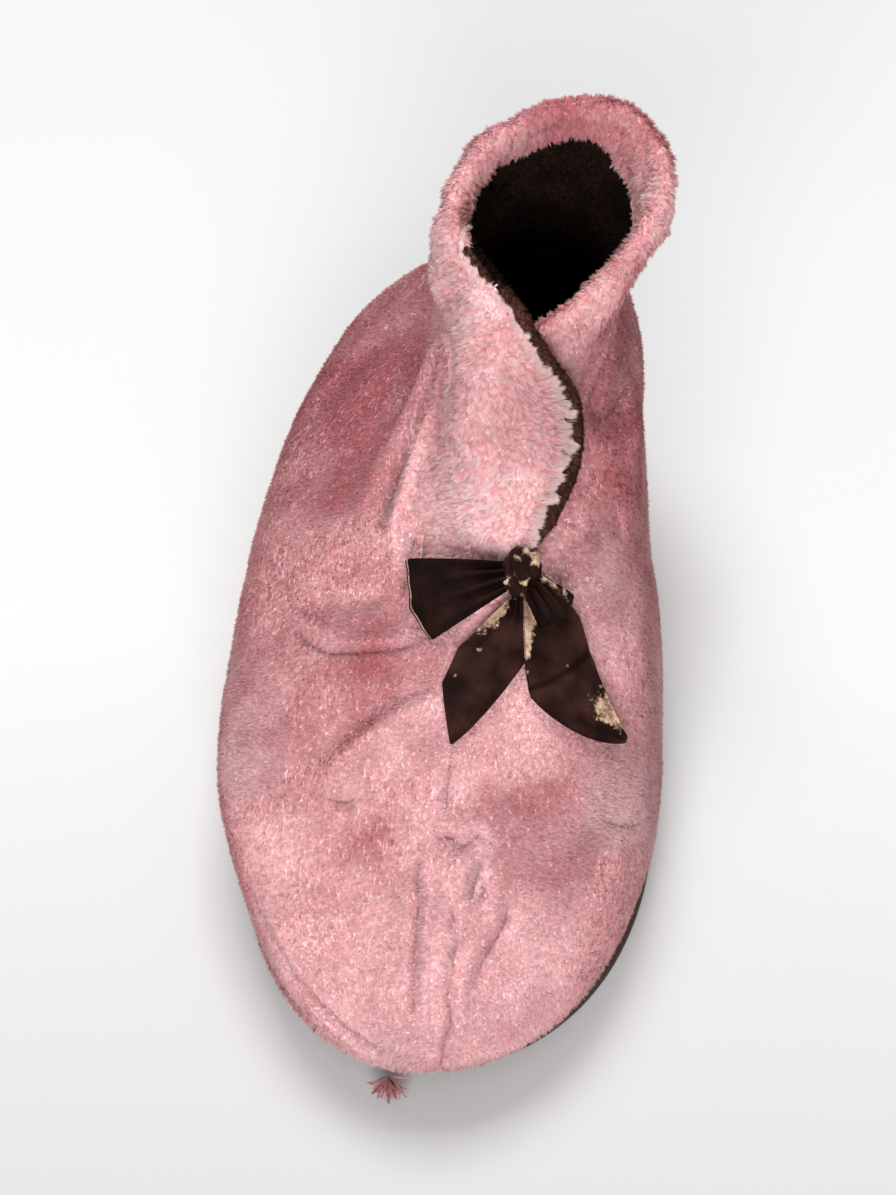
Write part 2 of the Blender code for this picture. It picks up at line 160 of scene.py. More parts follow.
def smooth(x):
    """Eased step from 0 to 1: 3 x squared less 2 x cubed."""
    x = np.clip(x, 0.0, 1.0)
    return x * x * (3.0 - 2.0 * x)


def curve(x, knots, values):
    """Cubic through the rows of a table, with each slope taken from the neighbouring rows."""
    x = np.asarray(x, float)
    slopes = np.gradient(values, knots, axis=0)
    i = np.clip(np.searchsorted(knots, x, side="right") - 1, 0, len(knots) - 2)
    step = (knots[i + 1] - knots[i])[..., None]
    f = (x - knots[i])[..., None] / step
    start = values[i] * (1 + 2 * f) * (1 - f) ** 2 + slopes[i] * step * f * (1 - f) ** 2
    end = values[i + 1] * f**2 * (3 - 2 * f) + slopes[i + 1] * step * f**2 * (f - 1)
    return start + end


def unit(vectors):
    """Vectors divided by their lengths."""
    return vectors / np.maximum(np.linalg.norm(vectors, axis=-1, keepdims=True), 1e-9)


def across_from(vectors, way):
    """Vectors less their part along a unit direction."""
    return vectors - way * (vectors * way).sum(-1, keepdims=True)


def turned_to(vectors, facing):
    """Vectors, reversed where they point away from the facing directions."""
    return vectors * np.sign((vectors * facing).sum(-1, keepdims=True))


def bell(x, middle, width):
    """Bell from 0 to 1: e to the minus square of the distance from its middle in widths."""
    return np.exp(-(((x - middle) / width) ** 2))


def rise(y):
    """Height of the underside above the floor: squared ramps at toe and heel, a squared sine at the arch."""
    toe = TOE_SPRING * np.clip((BALL_FRONT - y) / BALL_FRONT, 0, 1.1) ** 2
    heel = HEEL_SPRING * np.clip((y - HEEL_BACK) / (LENGTH - HEEL_BACK), 0, 1) ** 2
    along = np.clip((y - BALL_BACK) / (HEEL_FRONT - BALL_BACK), 0, 1)
    return toe + heel + ARCH * np.sin(np.pi * along) ** 2


def oval(row, angle):
    """Ring of one section: a superellipse with its own power before and behind, pointed in front by vee."""
    front, _, back, _, left, right, middle, widest, front_n, back_n, skew, vee = np.moveaxis(row, -1, 0)
    cosine = np.cos(angle)
    sine = np.sin(angle)
    power = 2.0 / np.where(cosine >= 0, front_n, back_n)
    along = np.abs(cosine) ** power
    across = np.sign(sine) * np.abs(sine) ** power
    pointed = (1 - vee) * along + vee * (1 - np.hypot(across, 0.15))
    share = np.where(cosine >= 0, widest * (1 - pointed), widest + (1 - widest) * along)
    x = BALL_WIDTH * (middle + across * np.where(sine >= 0, right, left) + skew * (share - widest))
    y = LENGTH * (front + (back - front) * share)
    return x, share, y


def rim_fall(level, angle):
    """Levels by which the inner flap falls away below its rim, growing towards its front edge."""
    start, full, last = np.radians(FALL_ANGLES)
    near = smooth((start - angle) / (start - full)) * (angle > last)
    return RIM_FALL * near * smooth((level - RIM_FROM) / (RIM - RIM_FROM))


def skin(level, angle):
    """Outside of the upper before the flaps part: a ring per level, tilted from front to back height."""
    level = np.asarray(level, float)
    row = curve(level - rim_fall(level, angle), LEVELS, SECTIONS)
    x, share, y = oval(row, angle)
    height = row[..., 1] + (row[..., 3] - row[..., 1]) * share
    z = FEATHER + (COLLAR - FEATHER) * height + rise(y) * np.clip(1 - level / 2.5, 0, 1)
    return np.stack([x, y, z], -1)


def skin_normal(level, angle):
    """Outward normal: cross product of the skin's two slopes, turned level at the seam with the sole."""
    small = 0.02
    around = skin(level, angle + small) - skin(level, angle - small)
    upward = skin(np.minimum(level + small, LEVELS[-1]), angle) - skin(np.maximum(level - small, 0), angle)
    normal = unit(np.cross(around, upward))
    normal[..., 2] *= smooth(level / 0.6)
    return unit(normal)


def flap_edges(level):
    """Angles of the outer and the inner flap edge at a level, from the flap table."""
    edges = curve(np.maximum(level, THROAT), FLAPS[:, 0], FLAPS[:, 1:])
    return np.radians(edges[..., 0]), np.radians(edges[..., 1])


def wrap(level, share):
    """Angle at a share of the way from the inner flap's edge round the heel to the outer flap's edge."""
    outer, inner = flap_edges(level)
    start = np.radians(THROAT_ANGLE)
    pull_inner = (inner - start) * np.clip(1 - share / 0.4, 0, 1) ** 2
    pull_outer = (outer - start) * np.clip((share - 0.6) / 0.4, 0, 1) ** 2
    return start + 2 * np.pi * share + pull_inner + pull_outer


def lap_lift(level, angle):
    """Outward shift that parts the outer flap from the inner flap below it."""
    outer, inner = flap_edges(level)
    half = 0.5 * (WALL + LAP_GAP) * smooth((level - THROAT) / 0.35)
    level_part = np.maximum(outer - inner, 0) + 0.08
    from_outer = smooth((outer + 2 * np.pi - angle - level_part) / LAP_EASE)
    from_inner = smooth((angle - inner - level_part) / LAP_EASE)
    return half * (from_inner - from_outer)


def wall(level):
    """Thickness of the upper, growing into the rolled rim."""
    return WALL + (RIM_WALL - WALL) * smooth((level - RIM_FROM) / 1.2)


def hashed(cell, seed):
    """Repeatable numbers from 0 to 1 for whole-number cells: fraction of a large sine of a weighted sum."""
    waved = np.sin(cell @ np.array([12.9898, 78.233, 37.719]) + seed * 4.137) * 43758.5453
    return waved - np.floor(waved)


def grain(points, size, seed):
    """Smooth noise from -1 to 1: hashed corners of a lattice of a size in mm, eased between corners."""
    spot = points / size
    cell = np.floor(spot)
    part = smooth(spot - cell)
    total = 0.0
    for corner in np.ndindex(2, 2, 2):
        corner = np.array(corner)
        weight = np.prod(np.where(corner, part, 1 - part), axis=-1)
        total = total + weight * hashed(cell + corner, seed)
    return 2 * total - 1


def drift(points, size, seed):
    """Smooth noise in three directions, from three seeds in a row."""
    return np.stack([grain(points, size, seed + k) for k in range(3)], -1)


def tuft_offset(points, size, seed):
    """Vector from each point to its tuft's middle: the nearest of one jittered middle per lattice cell."""
    cell = np.floor(points / size)
    best = np.full(points.shape[:-1], np.inf)
    nearest = np.zeros_like(points)
    for step in np.ndindex(3, 3, 3):
        near = cell + np.array(step) - 1
        jitter = np.stack([hashed(near, seed + k) for k in range(3)], -1)
        away = (near + jitter) * size - points
        gap = (away**2).sum(-1)
        closer = gap < best
        best = np.where(closer, gap, best)
        nearest = np.where(closer[..., None], away, nearest)
    return nearest


def tuft_lie(middles, seed):
    """Way that each tuft falls: three hashed numbers of its middle, from -1 to 1."""
    key = np.floor(middles * 20.0)
    return 2 * np.stack([hashed(key, seed + 10 + k) for k in range(3)], -1) - 1


def path_on_skin(stops, count):
    """Curve through stops given as level and angle in degrees, laid on the skin."""
    stops = np.array(stops, float)
    spots = curve(np.linspace(0, len(stops) - 1, count), np.arange(len(stops), dtype=float), stops)
    return skin(spots[:, 0], np.radians(spots[:, 1]))


def crease_relief(points):
    """Outward shift by the creases, and their painted shade, up to 1, and below 0 where a ridge is painted
    paler.

    Each crease is a bell across its path, eased in at both ends, with low lips beside it. Its painted shade
    is a faint bell of the same width, paler on a ridge as a painted highlight, and a thin painted dark line
    along the crease.
    """
    flat = points.reshape(-1, 3)
    shift = np.zeros(len(flat))
    shade = np.zeros(len(flat))
    for depth, half, line, stops in CREASES:
        path = path_on_skin(stops, CREASE_STEPS)
        low = path.min(0) - 5 * half
        high = path.max(0) + 5 * half
        near = np.flatnonzero(((flat > low) & (flat < high)).all(1))
        gaps = np.linalg.norm(flat[near, None] - path[None], axis=-1)
        gap = gaps.min(1) / half
        along = gaps.argmin(1) / (CREASE_STEPS - 1.0)
        ease = smooth(np.minimum(along, 1 - along) / 0.3 + 0.15)
        lip = 0.3 * np.exp(-((gap - 2.2) ** 2) / 0.8) * (depth > 0)
        shift[near] -= depth * ease * (np.exp(-(gap**2)) - lip)
        broad = np.clip(depth / 2.6, -0.6, 1.0) * bell(gap, 0, 0.8) * 0.3
        thin = 0.75 * bell(gap * half, 0, max(line, 0.01)) * (line > 0)
        shade[near] += ease * (broad + thin)
    return shift.reshape(points.shape[:-1]), np.clip(shade, -0.5, 1).reshape(points.shape[:-1])


def soft_lumps(points):
    """Slow swells of the padded cloth: three sizes of smooth noise."""
    return 0.9 * grain(points, 42.0, 3) + 0.45 * grain(points, 19.0, 5) + 0.22 * grain(points, 8.0, 7)


def rim_lumps(points):
    """Lumps of the stuffed collar: two sizes of smooth noise."""
    return 0.9 * grain(points, 8.0, 15) + 0.55 * grain(points, 3.6, 16)


# Patches of brushed tone and of painted shade and light: level, angle in degrees, radius in mm, how much
# rosier or paler it is
TONE_AND_SHADE_PATCHES = [
    (2.94, -78.0, 22.0, 0.36),
    (4.14, -36.0, 13.0, 0.56),
    (3.50, -48.0, 12.0, 0.36),
    (3.08, -48.0, 12.0, 0.18),
    (3.16, -19.0, 8.0, 0.42),
    (3.14, 30.0, 13.0, 0.44),
    (3.40, 36.0, 13.0, 0.42),
    (3.02, 20.0, 7.0, 0.30),
    (3.64, -111.0, 34.0, 0.34),
    (4.76, -101.0, 24.0, 0.46),
    (4.26, -86.0, 20.0, 0.50),
    (3.06, -134.0, 34.0, 0.28),
    (5.40, 68.0, 24.0, 0.58),
    (6.64, 74.0, 18.0, 0.25),
    (5.50, 100.0, 24.0, 0.34),
    (3.40, 90.0, 34.0, 0.10),
    (4.2, 150.0, 40.0, 0.25),
    (4.2, -160.0, 40.0, 0.25),
    (6.76, -18.0, 12.0, 0.16),
    (7.82, -5.0, 9.0, 0.16),
    (3.22, 5.0, 7.0, -0.26),
    (3.76, 14.0, 11.0, -0.22),
    (3.80, -20.0, 13.0, 0.04),
    (4.00, -51.0, 7.0, -0.22),
    (3.20, -61.0, 8.0, -0.20),
    (5.62, -22.0, 18.0, -0.42),
    (9.0, 150.0, 20.0, 0.48),
    (9.0, 195.0, 22.0, 0.48),
    (4.40, -44.0, 16.0, 0.24),
    (6.02, -2.0, 10.0, -0.30),
    (8.42, -23.0, 9.0, -0.15),
    (5.00, -56.0, 5.0, -0.35),
    (4.75, -45.0, 4.0, -0.30),
]


def rose_tone_and_painted_shade(points):
    """Share of the dark rosy pile, 0 to 1, from brushed tone and painted shade: bells round the patches,
    drawn out of round.
    """
    flat = points.reshape(-1, 3)
    rows = np.array(TONE_AND_SHADE_PATCHES)
    middles = skin(rows[:, 0], np.radians(rows[:, 1]))
    drawn = flat + 9.0 * drift(flat, 15.0, 21)
    total = np.full(len(flat), 0.24)
    for middle, reach, amount in zip(middles, rows[:, 2], rows[:, 3]):
        total += amount * np.exp(-((drawn - middle) ** 2).sum(1) / reach**2)
    total += 0.14 * grain(flat, 24.0, 11) + 0.19 * grain(flat, 9.0, 12) + 0.11 * grain(flat, 4.0, 13)
    return np.clip(total, 0, 1).reshape(points.shape[:-1])


def linear(code):
    """Linear colour of an sRGB hex code: c / 12.92 when dark, else ((c + 0.055) / 1.055) to the power 2.4."""
    srgb = np.array([int(code[i : i + 2], 16) for i in (1, 3, 5)]) / 255.0
    return np.where(srgb <= 0.04045, srgb / 12.92, ((srgb + 0.055) / 1.055) ** 2.4)


def mixed(first, second, share):
    """Colours between two hex codes at shares from 0 to 1."""
    share = np.asarray(share)[..., None]
    return linear(first) * (1 - share) + linear(second) * share


def grid_faces(rows, columns, closed):
    """Quads of a grid of points, joined across its last column when it is closed."""
    row, column = np.meshgrid(np.arange(rows - 1), np.arange(columns - (not closed)), indexing="ij")
    beside = (column + 1) % columns
    corners = [row * columns + column, row * columns + beside]
    corners += [(row + 1) * columns + beside, (row + 1) * columns + column]
    return np.stack(corners, -1).reshape(-1, 4)


def put_mesh(name, points, faces, materials, slot, face_slots=None, tint=None, uv=None, normals=None):
    """Mesh piece from points and faces with equal corner counts, with its colours, UV and normals."""
    faces = np.asarray(faces)
    mesh = bpy.data.meshes.new(name)
    corners = faces.shape[1]
    mesh.vertices.add(len(points))
    mesh.vertices.foreach_set("co", ((np.asarray(points) - MIDDLE) * 0.001).astype(np.float32).ravel())
    mesh.loops.add(faces.size)
    mesh.loops.foreach_set("vertex_index", faces.astype(np.int32).ravel())
    mesh.polygons.add(len(faces))
    mesh.polygons.foreach_set("loop_start", np.arange(0, faces.size, corners, dtype=np.int32))
    for material in materials:
        mesh.materials.append(material)
    if face_slots is not None:
        mesh.polygons.foreach_set("material_index", np.asarray(face_slots, np.int32))
    if tint is not None:
        layer = mesh.color_attributes.new("tint", "FLOAT_COLOR", "POINT")
        layer.data.foreach_set("color", np.c_[tint, np.ones(len(tint))].astype(np.float32).ravel())
    if uv is not None:
        layer = mesh.uv_layers.new(name="ribbon_mm")
        layer.data.foreach_set("uv", np.asarray(uv)[faces.ravel()].astype(np.float32).ravel())
    mesh.update(calc_edges=True)
    mesh.validate()
    mesh.shade_smooth()
    if normals is not None:
        mesh.normals_split_custom_set_from_vertices(normals.astype(np.float32))
    piece = bpy.data.objects.new(name, mesh)
    bpy.context.scene.collection.objects.link(piece)
    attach(piece, "root")
    return piece


def colour(code):
    """Linear colour of a hex code with full cover."""
    return (*linear(code), 1.0)


def wire(tree, node, values):
    """Sets up a node: an output is joined to its socket, and a value goes to a socket or else a property.

    The stops of a colour ramp are each a place from 0 to 1 and a hex code.
    """
    for key, value in values.items():
        if isinstance(value, bpy.types.NodeSocket):
            tree.links.new(value, node.inputs[key])
        elif key == "stops":
            band = node.color_ramp.elements
            for spot, (place, code) in zip(list(band), (value[0], value[-1])):
                spot.position = place
                spot.color = colour(code)
            for place, code in value[1:-1]:
                band.new(place).color = colour(code)
        elif isinstance(key, int) or key in node.inputs:
            node.inputs[key].default_value = value
        else:
            setattr(node, key, value)


def add(tree, kind, values, out=0):
    """One node of a kind with its values and links. Gives the output that is used."""
    node = tree.nodes.new("ShaderNode" + kind)
    wire(tree, node, values)
    return node.outputs[out]


def tinted(tree, fleck, low, high):
    """Tint of the points, made darker and lighter by a noise."""
    tint = add(tree, "Attribute", {"attribute_name": "tint"}, "Color")
    shade = add(tree, "MapRange", {"To Min": low, "To Max": high, "Value": fleck})
    return add(tree, "VectorMath", {"operation": "SCALE", 0: tint, "Scale": shade})


def finish_for(name):
    """Node material, its tree, its shader and the place that its textures are laid by."""
    material = bpy.data.materials.new(name)
    material.use_nodes = True
    tree = material.node_tree
    return material, tree, tree.nodes["Principled BSDF"], add(tree, "TexCoord", {}, "Object")


def make_pink_ground():
    """Coral fleece, knitted and brushed: matt, with soft clumps of 2 mm that catch light on one side."""
    material, tree, shader, place = finish_for("pink coral fleece ground")
    clump = add(tree, "TexNoise", {"Scale": 1000 / 2.4, "Detail": 3.0, "Roughness": 0.6, "Vector": place})
    relief = add(tree, "Bump", {"Strength": 0.6, "Distance": 0.0012, "Height": clump})
    wire(tree, shader, {"Base Color": tinted(tree, clump, 0.85, 1.06), "Normal": relief})
    wire(tree, shader, {"Roughness": 0.95, "Specular IOR Level": 0.15, "Sheen Weight": 0.15})
    return material


def make_pile(name, through, passed):
    """Brushed polyester pile: matt, and a share of the light goes through, tinted by the passed colour."""
    material, tree, shader, place = finish_for(name)
    fleck = add(tree, "TexNoise", {"Scale": 1000 / 1.6, "Detail": 1.0, "Vector": place})
    deep = tinted(tree, fleck, 0.9, 1.1)
    wire(tree, shader, {"Base Color": deep, "Roughness": 0.9, "Specular IOR Level": 0.1})
    inner = add(tree, "VectorMath", {"operation": "MULTIPLY", 0: deep, 1: passed})
    glow = add(tree, "BsdfTranslucent", {"Color": inner})
    both = add(tree, "MixShader", {"Fac": through, 1: shader.outputs[0], 2: glow})
    wire(tree, tree.nodes["Material Output"], {"Surface": both})
    return material


def make_fleece(name, dark, light, clump_mm):
    """Knitted fleece: matt brown with paler brushed clumps."""
    material, tree, shader, place = finish_for(name)
    values = {"Scale": 1000 / clump_mm, "Detail": 3.0, "Roughness": 0.65, "Vector": place}
    clump = add(tree, "TexNoise", values)
    slow = add(tree, "TexNoise", {"Scale": 1000 / 14.0, "Detail": 1.0, "Vector": place})
    both = add(tree, "Math", {"operation": "MULTIPLY", 0: clump, 1: slow})
    brown = add(tree, "ValToRGB", {"Fac": both, "stops": ((0.12, dark), (0.46, light))})
    relief = add(tree, "Bump", {"Strength": 0.7, "Distance": 0.001, "Height": clump})
    wire(tree, shader, {"Base Color": brown, "Normal": relief})
    wire(tree, shader, {"Roughness": 0.95, "Specular IOR Level": 0.12})
    return material


def make_ribbon():
    """Velvet ribbon: dark brown with 0.9 mm cross ribs, and tan threads bared where the face has worn off."""
    material, tree, shader, place = finish_for("worn brown velvet ribbon")
    across = add(tree, "UVMap", {"uv_map": "ribbon_mm"})
    wave = {"Scale": 0.314 / 0.9, "Distortion": 0.6, "Detail": 1.0, "Vector": across}
    rib = add(tree, "TexWave", wave, "Fac")
    tint = add(tree, "Attribute", {"attribute_name": "tint"}, "Color")
    wear = add(tree, "SeparateColor", {"Color": tint}, "Red")
    fleck = add(tree, "TexNoise", {"Scale": 1000 / 2.2, "Detail": 4.0, "Roughness": 0.7, "Vector": place})
    worn = add(tree, "Math", {"operation": "ADD", 0: wear, 1: fleck})
    bare = add(tree, "MapRange", {"From Min": 0.98, "From Max": 1.16, "Value": worn})
    slow = add(tree, "TexNoise", {"Scale": 1000 / 7.0, "Detail": 2.0, "Vector": place})
    velvet = add(tree, "ValToRGB", {"Fac": slow, "stops": ((0.30, "#160807"), (0.75, "#38201a"))})
    thread = add(tree, "ValToRGB", {"Fac": fleck, "stops": ((0.35, "#7d5d4a"), (0.70, "#cfb299"))})
    # The tint's green is painted shade on the velvet
    shade = wear.node.outputs["Green"]
    shaded = add(tree, "VectorMath", {"operation": "SCALE", 0: velvet, "Scale": shade})
    brown = add(tree, "Mix", {"data_type": "RGBA", 0: bare, 6: shaded, 7: thread}, 2)
    relief = add(tree, "Bump", {"Strength": 0.35, "Distance": 0.0004, "Height": rib})
    wire(tree, shader, {"Base Color": brown, "Normal": relief})
    wire(tree, shader, {"Roughness": 0.7, "Specular IOR Level": 0.05})
    return material


def make_sole_cloth():
    """Plain-woven sole cloth: dark brown threads 0.8 mm apart, over and under."""
    material, tree, shader, place = finish_for("brown woven sole cloth")
    wave = {"Scale": 314.0 / 0.8, "Vector": place}
    warp, weft = (add(tree, "TexWave", {"bands_direction": way, **wave}, "Fac") for way in "XY")
    weave = add(tree, "Math", {"operation": "MAXIMUM", 0: warp, 1: weft})
    slow = add(tree, "TexNoise", {"Scale": 1000 / 12.0, "Detail": 3.0, "Vector": place})
    both = add(tree, "Math", {"operation": "MULTIPLY", 0: weave, 1: slow})
    brown = add(tree, "ValToRGB", {"Fac": both, "stops": ((0.0, "#1d120e"), (0.65, "#4b3328"))})
    relief = add(tree, "Bump", {"Strength": 0.5, "Distance": 0.0004, "Height": weave})
    wire(tree, shader, {"Base Color": brown, "Normal": relief, "Roughness": 0.85})
    return material


pink_ground = make_pink_ground()
pink_pile = make_pile("pink coral fleece pile", 0.5, (1.0, 0.84, 0.84))
brown_pile = make_pile("brown fleece pile", 0.3, (1.0, 0.8, 0.7))
# The lining's browns are its own dark brown, darkened further as painted shade inside the slipper
lining_fleece = make_fleece("brown fleece lining", "#080403", "#22140e", 1.6)
edging_fleece = make_fleece("brown fleece edging", "#2a1812", "#6b463a", 1.2)
ribbon_velvet = make_ribbon()
sole_cloth = make_sole_cloth()

# Pile colours: the roots are darker than the tips, painted shade deep in the pile
ROOT_PALE = "#dfb0b3"
TIP_PALE = "#fbebeb"
ROOT_ROSE = "#ab666d"
TIP_ROSE = "#d28f95"
# Share of red, green and blue taken off the pile as painted shade in the depth of a crease
CREASE_PAINTED_SHADE = np.array([0.50, 0.66, 0.64])


def pile_colours(rose_and_shade, tip):
    """Blade colour: between the pale and the rosy pile, and from root to tip, the root darkened as painted
    shade.
    """
    tip = np.asarray(tip)[..., None]
    return mixed(ROOT_PALE, ROOT_ROSE, rose_and_shade) * (1 - tip) + mixed(TIP_PALE, TIP_ROSE, rose_and_shade) * tip


def grid_normals(points):
    """Normals of a grid of points: cross product of its two gradients."""
    return unit(np.cross(np.gradient(points, axis=1), np.gradient(points, axis=0)))


def between(grid, row, column):
    """Values of a grid at fractional rows and columns, blended from the four corners of the cell."""
    i = row.astype(int)
    j = column.astype(int)
    extra = (1,) * (grid.ndim - 2)
    f = (row - i).reshape(-1, *extra)
    g = (column - j).reshape(-1, *extra)
    low = grid[i, j] * (1 - g) + grid[i, j + 1] * g
    high = grid[i + 1, j] * (1 - g) + grid[i + 1, j + 1] * g
    return low * (1 - f) + high * f


def scatter(points, weight, count, seed):
    """Fractional rows and columns of random spots, spread over the cells by area times weight."""
    one = np.cross(points[1:, :-1] - points[:-1, :-1], points[:-1, 1:] - points[:-1, :-1])
    two = np.cross(points[1:, :-1] - points[1:, 1:], points[:-1, 1:] - points[1:, 1:])
    area = np.linalg.norm(one, axis=-1) + np.linalg.norm(two, axis=-1)
    share = np.cumsum((area * weight[:-1, :-1]).ravel())
    dice = np.random.default_rng(seed)
    cell = np.searchsorted(share, dice.random(count) * share[-1])
    row, column = np.divmod(np.minimum(cell, share.size - 1), points.shape[1] - 1)
    return row + dice.random(count), column + dice.random(count)


# Kinds of pile: material, slot, the tuft's size in mm, its roundness, and the share of red, green and blue
# taken off as painted shade where two tufts part, then a blade's length in mm, its least share and its
# spread, and its least width in mm and its spread. A fringe blade's length is a share of the way to its
# lock's point
PILES = {
    "shaft": (pink_pile, "pile_cloth", 2.0, 0.45, (0.10, 0.31, 0.30), 1.15, 0.7, 0.55, 0.40, 0.18),
    "foot": (pink_pile, "pile_cloth", 1.3, 0.3, (0.12, 0.27, 0.26), 1.15, 0.7, 0.55, 0.40, 0.18),
    "band": (pink_pile, "pile_cloth", 1.8, 0.3, (0.2, 0.3, 0.3), 1.5, 0.6, 0.6, 0.42, 0.2),
    "fringe": (pink_pile, "pile_cloth", 1.2, 0.3, (0.04, 0.16, 0.16), 1.0, 0.75, 0.3, 0.34, 0.18),
    "lining": (brown_pile, "lining_fleece", 2.4, 0.5, (0.5, 0.5, 0.5), 1.5, 0.6, 0.8, 0.4, 0.2),
    "edging": (brown_pile, "lining_fleece", 1.5, 0.6, (0.5, 0.5, 0.5), 0.9, 0.6, 0.7, 0.32, 0.15),
}


def blade_sizes(kind, dice, count):
    """Random lengths and widths of blades of a kind of pile, in mm."""
    length, least, spread, width, wider = PILES[kind][5:]
    return length * (least + spread * dice.random(count)), width + wider * dice.random(count)


def planted(kind, grid, normals, weight, count, seed):
    """Blades scattered over a grid: roots, normals, lengths, widths, rows, columns and their dice."""
    row, column = scatter(grid, weight, count, seed)
    dice = np.random.default_rng(seed + 100)
    length, width = blade_sizes(kind, dice, count)
    return between(grid, row, column), unit(between(normals, row, column)), length, width, row, column, dice


def blade_mesh(name, kind, root, normal, lean, length, width, root_tint, tip_tint, seed):
    """Pile as one joined mesh of three-cornered blades.

    A blade starts at its root, climbs along the normal, leans along the nap and towards its tuft's middle,
    and is turned a little about itself. Its shading follows the rounded tuft that it belongs to, and its
    colour is darkened where two tufts part: painted shade between the tufts.
    """
    material, slot, tuft, rounding, parting_shade = PILES[kind][:5]
    dice = np.random.default_rng(seed)
    count = len(root)
    pull = tuft_offset(root, tuft, seed)
    fall = tuft_lie(root + pull, seed)
    own_shade = 0.16 * rounding * fall[:, :1, None]
    fall = across_from(fall, normal)
    pull = across_from(pull, normal)
    edge = np.clip((pull**2).sum(-1) / (0.55 * tuft) ** 2, 0, 1)[:, None, None]
    wild = dice.normal(0, 0.17, (count, 3))
    way = unit(0.5 * normal + lean + 0.3 * fall + (0.2 + rounding) * pull / tuft + wild)
    tip = root + way * length[:, None]
    side = unit(np.cross(way, normal) + 0.1 * dice.normal(0, 1, (count, 3)))
    turn = dice.normal(0, 0.12, count)[:, None]
    side = unit(side * np.cos(turn) + np.cross(way, side) * np.sin(turn))
    half = 0.5 * width[:, None] * side
    points = np.stack([root - half, root + half, tip], 1)
    flip = (np.cross(points[:, 1] - points[:, 0], points[:, 2] - points[:, 0]) * normal).sum(-1) < 0
    points[flip] = points[flip][:, [1, 0, 2]]
    faces = np.arange(count * 3).reshape(-1, 3)
    shading = unit(normal - rounding * pull / tuft + 0.1 * fall)
    # Painted shade where two tufts part darkens the tint
    tint = np.stack([root_tint, root_tint, tip_tint], 1) * (1.06 + own_shade - np.array(parting_shade) * edge)
    tint = np.clip(tint, 0, 0.96).reshape(-1, 3)
    normals = np.repeat(shading, 3, axis=0)
    return put_mesh(name, points.reshape(-1, 3), faces, [material], slot, tint=tint, normals=normals)


# Width in mm of the pink hem inside the rim at each angle. Below zero, the brown facing is turned out, and
# the edging covers its border from FACING_FROM on
HEM_ANGLES = (-22.0, 0.0, 40.0, 95.0, 180.0, 240.0, 270.0, 294.0, 307.0, 317.0, 346.0)
HEM_WIDTHS = (3.0, 6.0, 15.0, 20.0, 12.5, 13.5, 14.0, 10.0, 2.0, -4.6, -5.2)
FACING_FROM = 308.0
# Grid of the upper: rows below and above the place where the flaps part, columns round, and rows of the rim
ROWS_BELOW = 112
ROWS_ABOVE = 78
COLUMNS = 336
RIM_ROWS = 9
# Last rows that the inside keeps whole, and rows of the inside that the pink hem may reach
WHOLE_ROWS = 14
HEM_ROWS = 16


def hem_depth(angle):
    """Width of the pink hem at an angle, read between the rows of the hem table."""
    return np.interp(np.degrees(angle), HEM_ANGLES, HEM_WIDTHS)


